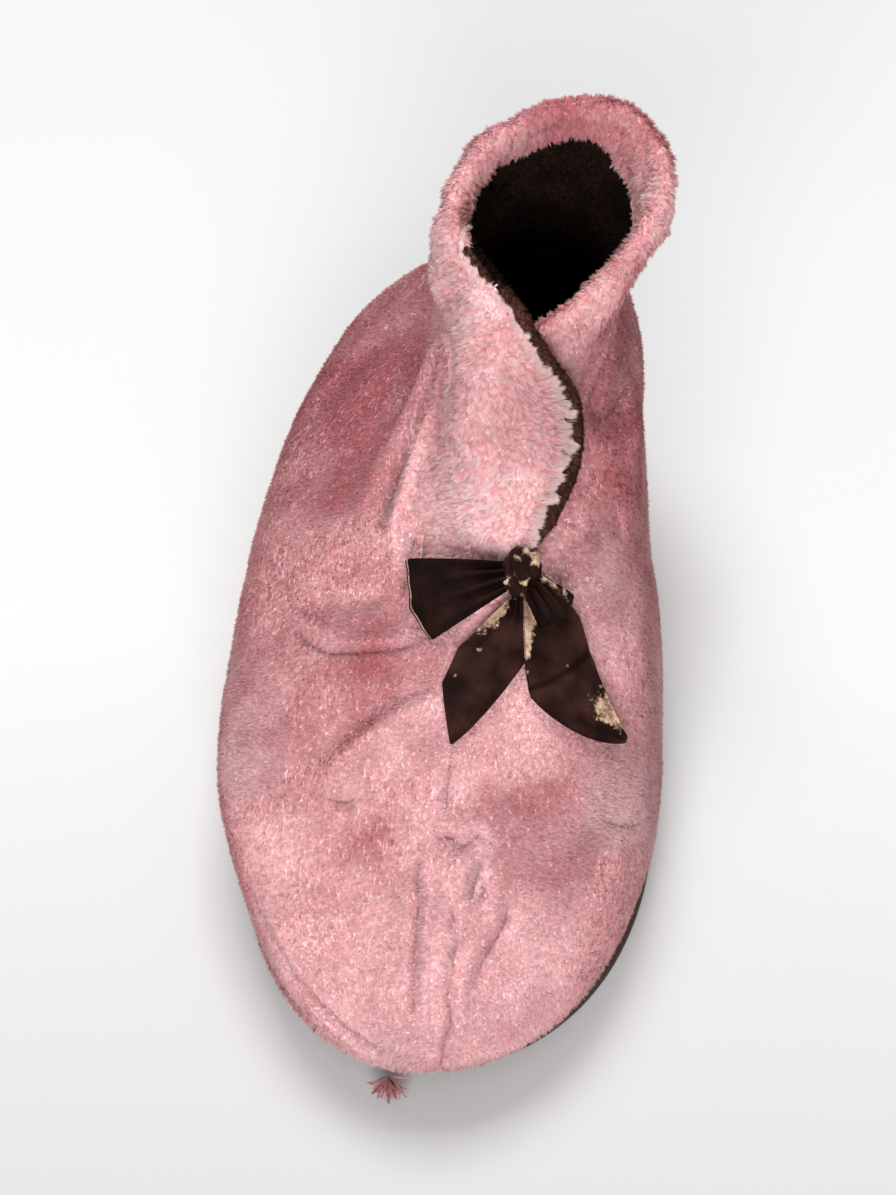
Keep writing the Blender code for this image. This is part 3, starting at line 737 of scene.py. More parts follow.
def make_upper():
    """Upper as a loop of points per column: up the outside, over the rolled rim and down the inside."""
    levels = np.linspace(0, THROAT, ROWS_BELOW)
    levels = np.concatenate([levels, np.linspace(THROAT, RIM, ROWS_ABOVE)[1:]])
    rows = len(levels)
    parted = ROWS_BELOW - 1
    level, share = np.meshgrid(levels, np.linspace(0, 1, COLUMNS + 1), indexing="ij")
    angle = wrap(level, share)
    plain = skin(level, angle)
    outward = skin_normal(level, angle)
    lift = lap_lift(level, angle)
    seam = smooth(level / 0.12)
    calm = smooth(level / 0.35) * smooth((9.2 - level) / 0.7)
    relief, crease_shade = crease_relief(plain)
    relief = relief * seam + soft_lumps(plain) * calm
    outside = plain + outward * (lift + relief - 1.2 * (1 - seam))[..., None]
    inside = plain + outward * (lift + 0.5 * relief - wall(level))[..., None]
    inside[0, :, 2] = outside[0, :, 2]
    around = unit(np.gradient(outside[-1], axis=0))
    upward = unit(across_from(outside[-1] - outside[-2], around))
    centre = 0.5 * (outside[-1] + inside[-1])
    radius = 0.5 * (outside[-1] - inside[-1])
    turns = np.radians(np.linspace(0, 180, RIM_ROWS + 2)[1:-1])[:, None, None]
    rolled = unit(radius) * np.cos(turns) + upward * np.sin(turns)
    roll = centre + radius * np.cos(turns) + upward * 0.5 * RIM_WALL * np.sin(turns)
    fade = smooth((level - 7.4) / 1.2)
    outside += outward * (rim_lumps(outside) * fade)[..., None]
    roll += rolled * rim_lumps(roll)[..., None]
    inside -= outward * (rim_lumps(inside) * fade)[..., None]

    # The inside keeps every fourth row below the parting and every third above it, from the rim down
    kept = np.unique(np.r_[0:parted:4, parted:rows:3, rows - WHOLE_ROWS : rows])[::-1]
    loop = np.concatenate([outside, roll, inside[kept]])
    origin = np.r_[0:rows, np.full(RIM_ROWS, rows - 1), kept]
    parted_inside = rows + RIM_ROWS + int(np.flatnonzero(kept == parted)[0])
    index = np.arange(len(loop) * (COLUMNS + 1)).reshape(len(loop), -1)
    index[: parted + 1, -1] = index[: parted + 1, 0]
    index[parted_inside:, -1] = index[parted_inside:, 0]
    after = np.roll(index, -1, axis=0)
    faces = [np.stack([index[:, :-1], index[:, 1:], after[:, 1:], after[:, :-1]], -1).reshape(-1, 4)]
    crest = rows + RIM_ROWS // 2
    for column in (0, COLUMNS):
        outer = index[parted : crest + 1, column]
        run = index[parted : parted_inside + 1, column][::-1]
        inner = run[np.linspace(0, len(run) - 1 - len(outer), len(outer)).astype(int)]
        faces.append(np.stack([outer[:-1], outer[1:], inner[1:], inner[:-1]], -1))
    faces = np.concatenate(faces)

    # Past the hem's width from the crest, the loop is brown lining
    walk = np.linalg.norm(np.diff(loop, axis=0), axis=-1)
    travelled = np.concatenate([np.zeros((1, COLUMNS + 1)), np.cumsum(walk, axis=0)])
    brown = travelled - travelled[crest] > hem_depth(angle[origin])
    brown[-1] = True
    slots = brown[:, :-1].ravel().astype(int)
    slots = np.pad(slots, (0, len(faces) - len(slots)))
    rose_and_shade = rose_tone_and_painted_shade(loop)
    # Painted shade of the creases darkens the ground's tint
    shade = np.pad(np.clip(crease_shade, 0, 1), ((0, len(loop) - rows), (0, 0)))
    tint = (pile_colours(rose_and_shade, 0.5) * (1 - shade[..., None] * CREASE_PAINTED_SHADE)).reshape(-1, 3)
    cloths = [pink_ground, lining_fleece]
    points = loop.reshape(-1, 3)
    piece = put_mesh("upper_cloth", points, faces, cloths, "pile_cloth", face_slots=slots, tint=tint)
    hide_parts("upper")
    normals = grid_normals(loop)
    facing = np.concatenate([outward, rolled, -outward[kept]])
    normals = turned_to(normals, facing)
    normals[rows : rows + RIM_ROWS] = rolled
    return loop, normals, level[origin], angle[origin], rose_and_shade, brown, rows


def nap_at(points, normal):
    """Lie of the pile: down the slope and swirled by slow noise, kept in the cloth's plane."""
    way = drift(points, 26.0, 31) * 0.7 + np.array([0.0, -0.45, -0.55])
    return unit(across_from(way, normal)) * 0.65


# Blades of each piece of pile
BLADES = {
    "pile_toe": 150000,
    "pile_middle": 150000,
    "pile_heel": 122000,
    "pile_shaft": 150000,
    "lining_pile": 54000,
    "flap_fringe": 15000,
    "edging_pile": 16000,
    "sole_band_pile": 42000,
}
# Lengths from the toe in mm where the middle and the heel piece of pile start, and levels where they end
MIDDLE_FROM = 82
HEEL_FROM = 165
MIDDLE_TOP = 5.0
HEEL_TOP = 6.0
# Level from which the outer flap covers the inner one, and how far in degrees its cover is bare of pile
COVERED_FROM = 5.6
COVERED = (40, 6)
# Lowest level of the lining's pile, and share by which pile is longer on the outer flap and the collar
LINING_FROM = 4.5
FLAP_LONGER = 0.6 / 1.15


def dress_upper(points, normals, level, angle, rose_and_shade, brown, rows):
    """Pink pile over the outside, the rim and the hem, in four pieces, then the brown pile of the lining."""
    pink = slice(rows + RIM_ROWS + HEM_ROWS)
    grid = points[pink]
    high = level[pink]
    cover = np.minimum(COVERED[0], np.degrees(flap_edges(high)[0]) - COVERED[1])
    show = (1.0 - brown[pink]) * ~((np.degrees(angle[pink]) < cover) & (high > COVERED_FROM))
    y = grid[..., 1]
    toe = y < MIDDLE_FROM
    middle = ~toe & (y < HEEL_FROM) & (high < MIDDLE_TOP)
    heel = (y >= HEEL_FROM) & (high < HEEL_TOP)
    shaft = ~(toe | middle | heel)
    parts = {"pile_toe": toe, "pile_middle": middle, "pile_heel": heel, "pile_shaft": shaft}
    for number, (name, part) in enumerate(parts.items()):
        kind = "shaft" if name == "pile_shaft" else "foot"
        blades = planted(kind, grid, normals[pink], part * show, BLADES[name], 100 + number)
        root, normal, length, width, row, column, dice = blades
        spot_level, spot_angle, shade = (between(a[pink], row, column) for a in (level, angle, rose_and_shade))
        # Painted shade of the creases: blades darker, and shorter, in a crease, and paler on a ridge as a
        # painted highlight
        fold = crease_relief(skin(spot_level, spot_angle))[1] * (row < rows)
        painted_crease_shade = np.clip(fold, 0, 1)
        swing = np.degrees(spot_angle)
        collar = smooth((spot_level - RIM_FROM) / 0.8)
        flap = np.clip(smooth((spot_level - 5.2) / 0.8) * (smooth((swing - 250) / 50) + collar), 0, 1)
        length *= (1 + FLAP_LONGER * flap) * (1 - 0.5 * painted_crease_shade)
        length[(spot_level > 8.75) & (swing > FACING_FROM - 4)] *= 0.5
        fleck = 0.08 * dice.normal(0, 1, len(root))
        # Paler pile on the outer flap and the collar: partly its own fluffier pile, partly painted light
        rosy = np.clip(shade - 0.06 * flap + fleck + 0.5 * np.minimum(fold, 0), 0, 1)
        painted_crease_dim = 1 - painted_crease_shade[:, None] * CREASE_PAINTED_SHADE
        tip = 0.85 + 0.15 * dice.random(len(root)) + 0.25 * flap
        blade_mesh(name, kind, root, normal, nap_at(root, normal), length, width,
                   pile_colours(rosy, 0.4) * painted_crease_dim, pile_colours(rosy, tip) * painted_crease_dim, 300 + number)
    lined = slice(rows - WHOLE_ROWS, -1)
    show = brown[lined] * (level[lined] > LINING_FROM) * 1.0
    blades = planted("lining", points[lined], normals[lined], show, BLADES["lining_pile"], 150)
    root, normal, length, width, row, column, dice = blades
    shade = np.clip(0.45 + 0.35 * grain(root, 7.0, 41) + 0.15 * dice.normal(0, 1, len(root)), 0, 1)
    swing = np.degrees(between(angle[lined], row, column))
    shade = np.clip(shade + 0.45 * bell(swing, 268, 26), 0, 1)
    # Half as light on the turned-out facing and over the rim: painted shade. Roots darker than tips: painted
    # shade in the pile
    shade[row < WHOLE_ROWS + RIM_ROWS] *= 0.5
    blade_mesh("lining_pile", "lining", root, normal, 0.7 * nap_at(root, normal), length, width,
               mixed("#060302", "#130a07", shade), mixed("#090403", "#4d2e1d", shade), 350)


dress_upper(*make_upper())

# Height in mm of one level of the upper just below the rim
RIM_LEVEL_MM = 9.5
# Rows of the edging beside the flap's edge. Its rows along the rim are half as many
EDGING_ROWS = 110


def flap_rim():
    """Path of the edging: up beside the outer flap's edge, then along the rim's diagonal, with its frame."""
    level = np.linspace(5.60, 8.93, EDGING_ROWS)
    angle = flap_edges(level)[0] + 2 * np.pi
    outward = skin_normal(level, angle)
    edge = skin(level, angle) + outward * lap_lift(level, angle)[:, None]
    beside = unit(np.cross(np.gradient(edge, axis=0), outward))
    beside = turned_to(beside, skin(level, angle + 0.05) - skin(level, angle))
    turn = np.radians(np.linspace(341.0, FACING_FROM, EDGING_ROWS // 2))
    round_rim = 0.5 * RIM_WALL
    rolled = np.maximum(0.5 * np.pi + hem_depth(turn) / round_rim, 0)[:, None]
    below = np.minimum(hem_depth(turn) + 0.5 * np.pi * round_rim, 0) / RIM_LEVEL_MM
    top = np.full(len(turn), RIM)
    rim_out = skin_normal(top, turn)
    upward = unit(skin(top, turn) - skin(top - 0.1, turn))
    start = skin(top + below, turn) + rim_out * lap_lift(top, turn)[:, None]
    start += round_rim * (upward * np.sin(rolled) - rim_out * (1 - np.cos(rolled)))
    rim_up = rim_out * np.cos(rolled) + upward * np.sin(rolled)
    rim_across = upward * np.cos(rolled) - rim_out * np.sin(rolled)
    path = np.concatenate([edge + beside * (GAP + 2.6) + outward * 0.9, start + rim_across + rim_up * 0.8])
    across = np.concatenate([beside, rim_across])
    up = np.concatenate([outward, rim_up])
    soft = []
    for line in (path, across, up):
        wide = np.pad(line, ((3, 3), (0, 0)), "edge")
        soft.append(sum(wide[k : k + len(line)] for k in range(7)) / 7.0)
    return soft[0], unit(soft[1]), unit(soft[2])


def make_fringe():
    """Ragged pale fringe along the flap's edge and the rim's diagonal: blades drawn together into locks."""
    dice = np.random.default_rng(61)
    path, across, up = flap_rim()
    run = unit(np.gradient(path, axis=0))
    locks = 112
    place = (np.arange(locks) + 0.9 * dice.random(locks)) / locks * (len(path) - 2)
    size = dice.random(locks) ** 1.3
    shaggy = 0.35 + 0.65 * bell(place, 36, 30) + 0.3 * bell(place, 150, 14)
    middle = place.astype(int)
    beyond = -2.3 + 0.8 * dice.random(locks) + 4.2 * size * shaggy
    sway = dice.normal(0, 0.8, locks)
    height = 1.5 + 0.9 * dice.random(locks)
    point = path[middle] + across[middle] * beyond[:, None]
    point += run[middle] * sway[:, None] + up[middle] * height[:, None]
    count = BLADES["flap_fringe"]
    lock = dice.integers(0, locks, count)
    spot = np.clip(place[lock] + dice.normal(0, 0.9, count), 0, len(path) - 1).astype(int)
    back = 1.7 + np.abs(dice.normal(0, 1.0, count))
    root = path[spot] - across[spot] * back[:, None] + up[spot] * (0.4 * dice.random(count) - 0.9)[:, None]
    root += run[spot] * dice.normal(0, 0.5, count)[:, None]
    tip = point[lock] + 0.3 * dice.normal(0, 1, (count, 3))
    stray = dice.random(count)[:, None] ** 3
    way = tip + stray * (path[spot] - path[middle[lock]]) - root
    length, width = blade_sizes("fringe", dice, count)
    length *= np.linalg.norm(way, axis=-1)
    lean = 5.0 * unit(way) - 0.5 * up[spot]
    rosy = np.clip(0.1 + 0.4 * dice.random(count) + 0.3 * (1 - shaggy[lock]), 0, 1)
    blade_mesh("flap_fringe", "fringe", root, up[spot], lean, length, width,
               mixed("#e9bfbf", "#d39a9d", rosy), mixed("#fffaf7", "#f9e0de", rosy), 360)


def make_edging():
    """Brown edging: a flattened tube along the flap's edge and the rim's diagonal, with short pile."""
    path, across, up = flap_rim()
    number = np.arange(len(path))
    turn = np.linspace(0, 2 * np.pi, 19)[:-1]
    share = number / (len(path) - 1.0)
    ends = smooth(np.minimum(share, 1 - share) / 0.06) * 0.9 + 0.1
    rim = smooth((number - 104) / 14.0)
    wide = 1.5 * bell(number, 38, 26.0)
    half = (2.3 + wide - 0.9 * rim + 0.25 * grain(path, 9.0, 81)) * ends
    thick = (1.4 + 0.2 * rim) * ends
    out = wide[:, None] + half[:, None] * np.cos(turn)
    lift = -0.7 + thick[:, None] * np.sin(turn)
    points = path[:, None] + across[:, None] * out[..., None] + up[:, None] * lift[..., None]
    piece = capped_tube("edging_strip", points, edging_fleece, "lining_fleece")
    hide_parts("lap_edging")
    normals = unit(across[:, None] * np.cos(turn)[None, :, None] + up[:, None] * np.sin(turn)[None, :, None])
    points, normals = (np.concatenate([a, a[:, :1]], 1) for a in (points, normals))
    show = np.zeros(points.shape[:2])
    show[:, :11] = 1.0
    blades = planted("edging", points, normals, show, BLADES["edging_pile"], 171)
    root, normal, length, width, _, _, dice = blades
    shade = np.clip(0.5 + 0.4 * grain(root, 3.5, 42) + 0.15 * dice.normal(0, 1, len(root)), 0, 1)
    # Roots darker than tips: painted shade deep in the pile
    blade_mesh("edging_pile", "edging", root, normal, nap_at(root, normal), length, width,
               mixed("#26130e", "#472a21", shade), mixed("#43271d", "#955f50", shade), 371)


def capped_tube(name, points, material, slot, **extra):
    """Closed tube from rings of points: the first and last ring are drawn in to their middles."""
    rings = np.concatenate([points[:1] * 0 + points[0].mean(0), points, points[-1:] * 0 + points[-1].mean(0)])
    faces = grid_faces(rings.shape[0], rings.shape[1], True)
    return put_mesh(name, rings.reshape(-1, 3), faces, [material], slot, **extra)


make_fringe()
make_edging()

# Outlines of the sole's layers, as in the solid model
SOLE_WIDEST = 0.37
SOLE_POWERS = (2.1, 2.35)
WAIST = 0.05
SOLE_LAYERS = {
    # front  back  left  right  base  thickness  edge
    "outsole": (0.032, 0.978, 0.420, 0.518, 0.0, OUTSOLE, 1.2),
    "sole_band": (0.023, 0.981, 0.442, 0.497, OUTSOLE + GAP, BAND, 2.6),
    "insole": (0.046, 0.957, 0.378, 0.440, FEATHER, INSOLE, 1.6),
}


def sole_sides(y, front, back, left, right):
    """Left and right edge of a layer: a superellipse each way from the widest place, less at the waist."""
    widest = SOLE_WIDEST * LENGTH
    power = np.where(y < widest, *SOLE_POWERS)
    end = np.where(y < widest, front * LENGTH, back * LENGTH)
    away = np.clip(np.abs(y - widest) / np.abs(end - widest), 0, 1)
    full = (1 - away**power) ** (1 / power)
    full *= 1 - WAIST * bell(y, 0.60 * LENGTH, 42.0)
    return -left * BALL_WIDTH * full, right * BALL_WIDTH * full


def sole_shape(name, crown):
    """Layer of the sole: rounded-edge cross-sections from toe to heel, closer together at both ends.

    A section goes up its left edge, over the top, down its right edge and back below.
    """
    front, back, left, right, base, thick, edge = SOLE_LAYERS[name]
    along = 0.5 - 0.5 * np.cos(np.linspace(0.005, np.pi - 0.005, 124))
    y = LENGTH * (front + (back - front) * along)
    low, high = (side[:, None] for side in sole_sides(y, front, back, left, right))
    ease = np.minimum(edge, 0.42 * (high - low))
    tall = min(0.5 * thick, edge)
    turn = np.radians([*np.linspace(-90, 0, 6), *np.linspace(0, 90, 6)])
    flat = np.linspace(0.04, 0.96, 14)
    left_side = low + ease * (1 - np.cos(turn))
    right_side = high - ease * (1 - np.cos(turn[::-1]))
    top = low + ease + (high - low - 2 * ease) * flat
    x = np.concatenate([left_side, top, right_side, top[:, ::-1]], 1)
    side_z = np.repeat([tall, thick - tall], 6) + tall * np.sin(turn)
    top_z = thick + crown * (4 * flat * (1 - flat)) ** 0.5
    z = np.concatenate([side_z, top_z, side_z[::-1], 0 * flat]) + (rise(y) + base)[:, None]
    return np.stack([x, y[:, None] + 0 * x, z], -1)


def make_sole():
    """Outsole, padded band with its pile, and insole."""
    piece = capped_tube("outsole_cloth", sole_shape("outsole", 0.0), sole_cloth, "sole_cloth")
    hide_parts("outsole")
    band = sole_shape("sole_band", 0.0)
    rose_and_shade = np.clip(rose_tone_and_painted_shade(band) + 0.05, 0, 1)
    tint = pile_colours(np.concatenate([rose_and_shade[:1], rose_and_shade, rose_and_shade[-1:]]), 0.2).reshape(-1, 3)
    piece = capped_tube("sole_band_cloth", band, pink_ground, "pile_cloth", tint=tint)
    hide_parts("sole_band")
    closed = np.concatenate([band, band[:, :1]], 1)
    away = (closed - np.array([0.0, SOLE_WIDEST * LENGTH, 0.0])) * np.array([1.0, 1.0, 0.0])
    normals = turned_to(grid_normals(closed), away)
    side = np.zeros(closed.shape[:2])
    side[:, 1:12] = 1.0
    side[:, 26:37] = 1.0
    blades = planted("band", closed, normals, side, BLADES["sole_band_pile"], 170)
    root, normal, length, width, _, _, dice = blades
    normal = unit(normal * np.array([1, 1, 0.4]))
    rosy = np.clip(rose_tone_and_painted_shade(root) + 0.1 + 0.1 * dice.normal(0, 1, len(root)), 0, 1)
    blade_mesh("sole_band_pile", "band", root, normal, 0.6 * nap_at(root, normal), length, width,
               pile_colours(rosy, 0.05), pile_colours(rosy, 0.85), 370)
    piece = capped_tube("insole_fleece", sole_shape("insole", 0.8), lining_fleece, "lining_fleece")
    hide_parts("insole")


make_sole()


def make_toe_tuft():
    """Small tuft of pink thread ends at the toe: bent three-sided threads fanned from one spot."""
    spot = np.array([-0.2, 0.0, 6.5]) + skin(np.array(0.0), np.radians(-6.0)) * np.array([1.0, 1.0, 0.0])
    up = np.array([0.0, 0.0, 1.0])
    dice = np.random.default_rng(81)
    count = 46
    steps = 9
    fan = dice.normal(0, 0.75, count)
    tilt = dice.normal(-0.15, 0.35, count)
    way = unit(np.stack([np.sin(fan), -np.cos(fan), tilt], -1))
    side = unit(np.cross(way, up))
    over = np.cross(side, way)
    length = 4.0 + 3.2 * dice.random(count)
    along = np.linspace(0, 1, steps)
    bend = (dice.normal(0, 1.3, count)[:, None] * along**2)[..., None] * side[:, None]
    droop = (-1.2 * along**2)[None, :, None] * up
    line = spot + way[:, None] * (length[:, None] * along)[..., None] + bend + droop
    line[..., 2] = np.maximum(line[..., 2], 1.0)
    thick = 0.55 * (1 - 0.45 * along)[None, :, None, None]
    turn = np.radians((90.0, 210.0, 330.0))[:, None]
    ring = np.cos(turn) * side[:, None, None] + np.sin(turn) * over[:, None, None]
    points = line[:, :, None] + thick * ring
    faces = grid_faces(steps, 3, True)[None] + (np.arange(count) * steps * 3)[:, None, None]
    shade = np.clip(0.55 + 0.4 * dice.normal(0, 1, count), 0, 1)
    tint = np.repeat(pile_colours(shade, 0.35), steps * 3, axis=0)
    put_mesh("toe_tuft", points.reshape(-1, 3), faces.reshape(-1, 4), [pink_pile], "pile_cloth", tint=tint)


make_toe_tuft()

# Ribbon bow, as in the solid model: thickness and clearance in mm, the knot's place and half sizes, and the
# edges of the tails as levels and degrees
RIBBON = 1.2
TAIL_CLEAR = 0.6
KNOT_AT = (5.36, 11.5)
KNOT_HALF = (5.6, 7.0, 4.2)
TAILS = {
    "bow_tail_left": (
        ((5.15, 7.5), (5.00, 1.0), (4.70, -9.5), (4.40, -12.0), (4.00, -4.5)),
        ((5.15, 12.5), (4.94, 15.0), (4.75, 17.6), (4.55, 17.6), (4.01, -3.5)),
    ),
    "bow_tail_right": (
        ((5.15, 13.0), (4.84, 14.8), (4.50, 17.6), (4.24, 22.0), (3.02, 61.0)),
        ((5.15, 21.0), (4.95, 31.0), (4.60, 39.0), (4.00, 48.0), (3.04, 62.0)),
    ),
}
LOOPS = {
    # reach  aim in degrees  width at knot  width at end  bulge  middle height  droop radius
    "bow_loop_left": (28.0, 194.0, 8.0, 23.0, 8.0, 5.2, 62.0),
    "bow_loop_right": (14.0, -50.0, 7.0, 12.5, 6.0, 9.0, 60.0),
}


def throat_frame():
    """Point of the knot on the upper, then the directions to the outer side, up the shaft and outward."""
    level = np.array(KNOT_AT[0])
    angle = np.radians(np.array(KNOT_AT[1]))
    outward = skin_normal(level, angle)
    foot = skin(level, angle)
    ahead = skin(level + 0.02, angle) - foot
    ahead -= outward * (ahead @ outward)
    beside = np.cross(ahead, outward)
    beside[2] = 0.0
    beside -= outward * (beside @ outward)
    beside /= np.linalg.norm(beside)
    return foot, beside, np.cross(outward, beside), outward


def ribbon_slab(name, top, bottom, uv, wear, velvet, node):
    """Ribbon between two grids of points, closed along its borders, tinted by wear and by painted shade of
    the velvet.
    """
    rows, columns = top.shape[:2]
    faces = grid_faces(rows, columns, False)
    count = rows * columns
    index = np.arange(count).reshape(rows, columns)
    border = np.concatenate([index[0, :-1], index[:-1, -1], index[-1, :0:-1], index[:0:-1, 0]])
    after = np.roll(border, -1)
    sides = np.stack([border, after, after + count, border + count], -1)
    points = np.concatenate([top.reshape(-1, 3), bottom.reshape(-1, 3)])
    face_tint = np.stack([wear, velvet, 0 * wear], -1).reshape(-1, 3)
    tint = np.concatenate([face_tint, face_tint])
    spots = np.concatenate([uv.reshape(-1, 2), uv.reshape(-1, 2)])
    all_faces = np.concatenate([faces, faces[:, ::-1] + count, sides])
    piece = put_mesh(name, points, all_faces, [ribbon_velvet], "ribbon", tint=tint, uv=spots)
    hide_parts(node)
    return piece


# Worn spots of the tails: step along, share across, their reaches, and how bare the spot is
TAIL_WEAR = {
    "bow_tail_left": (
        (0.80, 0.10, 0.85, 0.28, 0.64),
        (2.0, 0.30, 0.10, 0.08, 0.30),
        (2.75, 0.12, 0.16, 0.10, 0.32),
    ),
    "bow_tail_right": (
        (0.66, 0.16, 0.70, 0.30, 0.66),
        (1.45, 0.03, 0.60, 0.11, 0.50),
        (0.66, 0.86, 0.62, 0.26, 0.62),
        (2.62, 0.62, 0.10, 0.16, 0.34),
        (3.60, 0.80, 0.34, 0.34, 0.66),
    ),
}


def make_tail(name, edges):
    """Tail of the bow laid over the vamp between its two edges, with soft folds out from the knot."""
    steps = np.linspace(0, 4, 90)
    left, right = (np.stack([np.interp(steps, range(5), a) for a in np.transpose(e)], -1) for e in edges)
    across = np.linspace(0, 1, 36)[None]
    grid = left[:, None] + (right - left)[:, None] * across[..., None]
    steps = steps[:, None]
    level = grid[..., 0]
    angle = np.radians(grid[..., 1])
    plain = skin(level, angle)
    outward = skin_normal(level, angle)
    start = np.exp(-steps / 0.8)
    fold = 1.6 * start * np.cos(3 * np.pi * across) ** 2 + 0.6 * np.sin(2.2 * np.pi * across) ** 2
    if "left" in name:
        crimp = bell(across, 0.24, 0.10) * smooth((2.6 - steps) / 1.6)
        fold = fold - 1.3 * crimp
    else:
        crimp = bell(steps, 2.72, 0.10)
        over = smooth((0.35 - across) / 0.35) * smooth((3.0 - steps) / 1.2)
        fold = fold + 1.7 * over - 0.5 * crimp
    lift = TAIL_CLEAR + 1.8 + fold + crease_relief(plain)[0] * 0.4
    top = plain + outward * (lift + RIBBON)[..., None]
    bottom = plain + outward * lift[..., None]
    length = np.linalg.norm(np.diff(plain.mean(1), axis=0), axis=-1)
    along = np.concatenate([[0], np.cumsum(length)])[:, None] + 0 * level
    side = np.linalg.norm(plain - plain[:, :1], axis=-1)
    wear = 0.14 + 0.14 * start + 0.10 * (np.abs(across - 0.5) > 0.47)
    for step, share, reach, width, amount in TAIL_WEAR[name]:
        wear += amount * bell(steps, step, reach) * bell(across, share, width)
    # Painted shade of the velvet: darker in the crimped fold and towards the knot
    velvet = 1.0 - 0.7 * crimp - 0.35 * start + 0 * level
    piece = ribbon_slab(name + "_ribbon", top, bottom, np.stack([along, side], -1), wear, velvet, name)


def make_loop(name, row):
    """Loop of the bow: out along the top, round the end and back below, gathered in folds at the knot."""
    reach, aim, knot_width, end_width, bulge, middle, droop = row
    foot, beside, ahead, outward = throat_frame()
    axis = beside * np.cos(np.radians(aim)) + ahead * np.sin(np.radians(aim))
    across = np.cross(outward, axis)
    turn = np.linspace(0, 1, 121)[:, None]
    bow = np.sin(np.pi * turn)
    spread = bow**0.8
    root = KNOT_HALF[0] - 0.5
    out = root + (reach - root) * spread
    height = middle + np.cos(np.pi * turn) * (0.9 + 0.5 * bulge * bow**0.7) - out**2 / (2 * droop)
    centre = foot + out * axis + height * outward
    face = unit(np.cross(np.gradient(centre, axis=0), across))[:, None]
    place = np.linspace(-1, 1, 28)[None]
    side = place * 0.5 * (knot_width + (end_width - knot_width) * spread)
    run_out = bell(out, root, 0.75 * (reach - root))
    folds = 1.1 * run_out * np.sin(3.5 * np.pi * place) + 0.4 * np.sin(1.7 * np.pi * place + 0.6)
    sheet = centre[:, None] + side[..., None] * across + folds[..., None] * face
    sheet += (2.4 * spread**4 * (1 - place**2))[..., None] * axis
    top = sheet + 0.5 * RIBBON * face
    bottom = sheet - 0.5 * RIBBON * face
    step = np.linalg.norm(np.diff(centre, axis=0), axis=-1)
    along = np.concatenate([[0], np.cumsum(step)])[:, None] + 0 * folds
    wear = 0.08 + 0.12 * (1 - spread) + 0.10 * (np.abs(place) > 0.95)
    if "left" in name:
        wear = wear + 0.70 * bell(turn, 0.455, 0.014)
    else:
        wear = wear + 0.42 * bell(place, 0.75, 0.4)
    # Painted shade of the velvet: the loop darker, and banded light and dark with its folds near the knot
    velvet = 0.40 + 0.2 * np.sin(3.5 * np.pi * place + 1.0) * run_out
    piece = ribbon_slab(name + "_ribbon", top, bottom, np.stack([along, side], -1), wear, velvet, name)


def make_knot():
    """Knot of the bow: a rounded lump with crushed folds across it."""
    foot, beside, ahead, outward = throat_frame()
    centre = foot + outward * (KNOT_HALF[2] + GAP)
    tilt = np.linspace(-0.49 * np.pi, 0.49 * np.pi, 40)[:, None]
    turn = np.linspace(0, 2 * np.pi, 64, endpoint=False)[None]
    flat = np.abs(np.cos(tilt)) ** 0.7
    x = KNOT_HALF[0] * flat * np.cos(turn)
    y = KNOT_HALF[1] * flat * np.sin(turn)
    z = KNOT_HALF[2] * np.sin(tilt) + 0 * turn
    ball = x[..., None] * beside + y[..., None] * ahead + z[..., None] * outward
    crumple = grain(ball + 40, 2.4, 91)
    folds = 0.06 * np.sin(2.1 * x + 0.7 * np.sin(0.6 * y)) + 0.17 * crumple
    points = centre + ball * (1 + folds)[..., None]
    wear = np.clip(0.38 + 0.5 * crumple + 0.12 * grain(ball + 40, 5.0, 92), 0, 1)
    wear = np.concatenate([wear[:1], wear, wear[-1:]]).reshape(-1, 1)
    uv = np.stack([x, y], -1)
    uv = np.concatenate([uv[:1], uv, uv[-1:]])
    # The knot's velvet is a little darker: painted shade
    piece = capped_tube("bow_knot_ribbon", points, ribbon_velvet, "ribbon",
                        tint=np.concatenate([wear, 0 * wear + 0.7, 0 * wear], 1), uv=uv.reshape(-1, 2))
    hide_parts("bow_knot")


make_knot()
for loop_name, loop_row in LOOPS.items():
    make_loop(loop_name, loop_row)
for tail_name, tail_edges in TAILS.items():
    make_tail(tail_name, tail_edges)


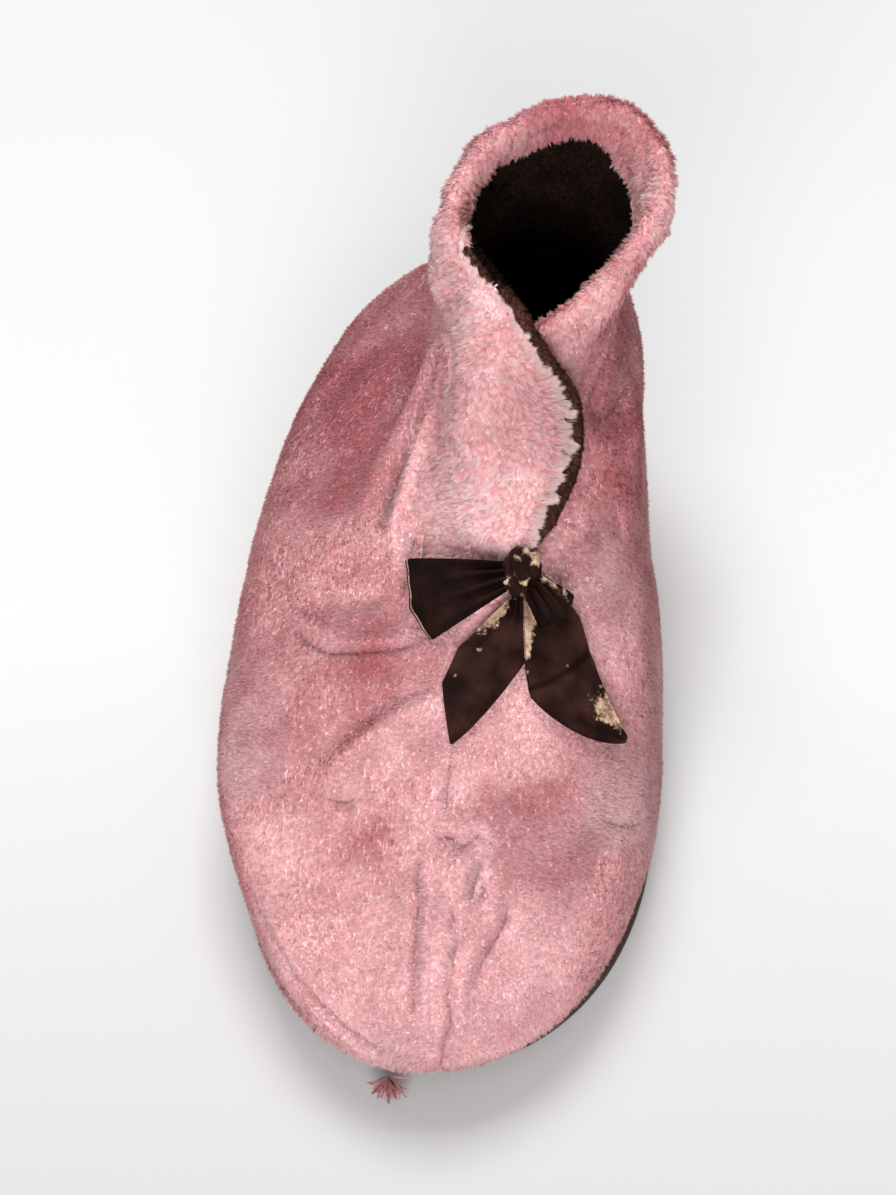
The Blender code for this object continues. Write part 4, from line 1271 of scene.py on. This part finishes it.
def make_floor():
    """Plain pale floor: one large flat sheet, a little greyer towards the front: painted shade."""
    mesh = bpy.data.meshes.new("studio_floor")
    mesh.from_pydata([(-4, -4, 0), (4, -4, 0), (4, 4, 0), (-4, 4, 0)], [], [(0, 1, 2, 3)])
    floor = bpy.data.objects.new("studio_floor", mesh)
    bpy.context.scene.collection.objects.link(floor)
    material, tree, shader, place = finish_for("pale studio floor")
    along = add(tree, "SeparateXYZ", {"Vector": place}, "Y")
    share = add(tree, "MapRange", {"From Min": -0.24, "From Max": 0.36, "Value": along})
    stops = ((0.0, "#b6b6b6"), (0.45, "#d2d2d2"), (1.0, "#cacaca"))
    grey = add(tree, "ValToRGB", {"Fac": share, "stops": stops})
    wire(tree, shader, {"Base Color": grey, "Roughness": 0.7, "Specular IOR Level": 0.2})
    mesh.materials.append(material)


# Lights: place and target in metres, size in metres, power in watts
LIGHTS = {
    "softbox_top": ((-0.12, 0.55, 1.4), (0.0, 0.0, 0.03), 0.7, 17.0),
    "softbox_front": ((-0.05, -2.6, 1.35), (0.0, 0.0, 0.05), 1.7, 99.0),
}


def add_softbox(name, place, target, size, power):
    """Square area light aimed at a point."""
    lamp = bpy.data.lights.new(name, "AREA")
    lamp.size = size
    lamp.energy = power
    holder = bpy.data.objects.new(name, lamp)
    holder.location = place
    holder.rotation_euler = (Vector(target) - Vector(place)).to_track_quat("-Z", "Y").to_euler()
    bpy.context.scene.collection.objects.link(holder)


def make_studio():
    """Soft light from above and behind, a large one from the camera's side, and a pale surround."""
    for name, row in LIGHTS.items():
        add_softbox(name, *row)
    world = bpy.data.worlds.new("studio")
    world.use_nodes = True
    world.node_tree.nodes["Background"].inputs["Color"].default_value = (1.0, 1.0, 1.0, 1.0)
    world.node_tree.nodes["Background"].inputs["Strength"].default_value = 0.42
    bpy.context.scene.world = world
    bpy.context.scene.view_settings.view_transform = "Standard"


def make_camera():
    """Camera at the photograph's angle: 52 degrees above the floor, 4.45 to the outer side, 1 m away."""
    raised = math.radians(52.0)
    turned = math.radians(4.45)
    level = math.cos(raised)
    target = Vector((-0.00177, 0.01108, 0.045))
    back = Vector((math.sin(turned) * level, -math.cos(turned) * level, math.sin(raised)))
    lens = bpy.data.cameras.new("photo_camera")
    lens.sensor_fit = "AUTO"
    lens.sensor_width = 36.0
    lens.lens = 105.1
    holder = bpy.data.objects.new("photo_camera", lens)
    holder.location = target + back
    holder.rotation_euler = (-back).to_track_quat("-Z", "Y").to_euler()
    bpy.context.scene.collection.objects.link(holder)
    bpy.context.scene.camera = holder


make_floor()
make_studio()
make_camera()

bpy.context.view_layer.update()
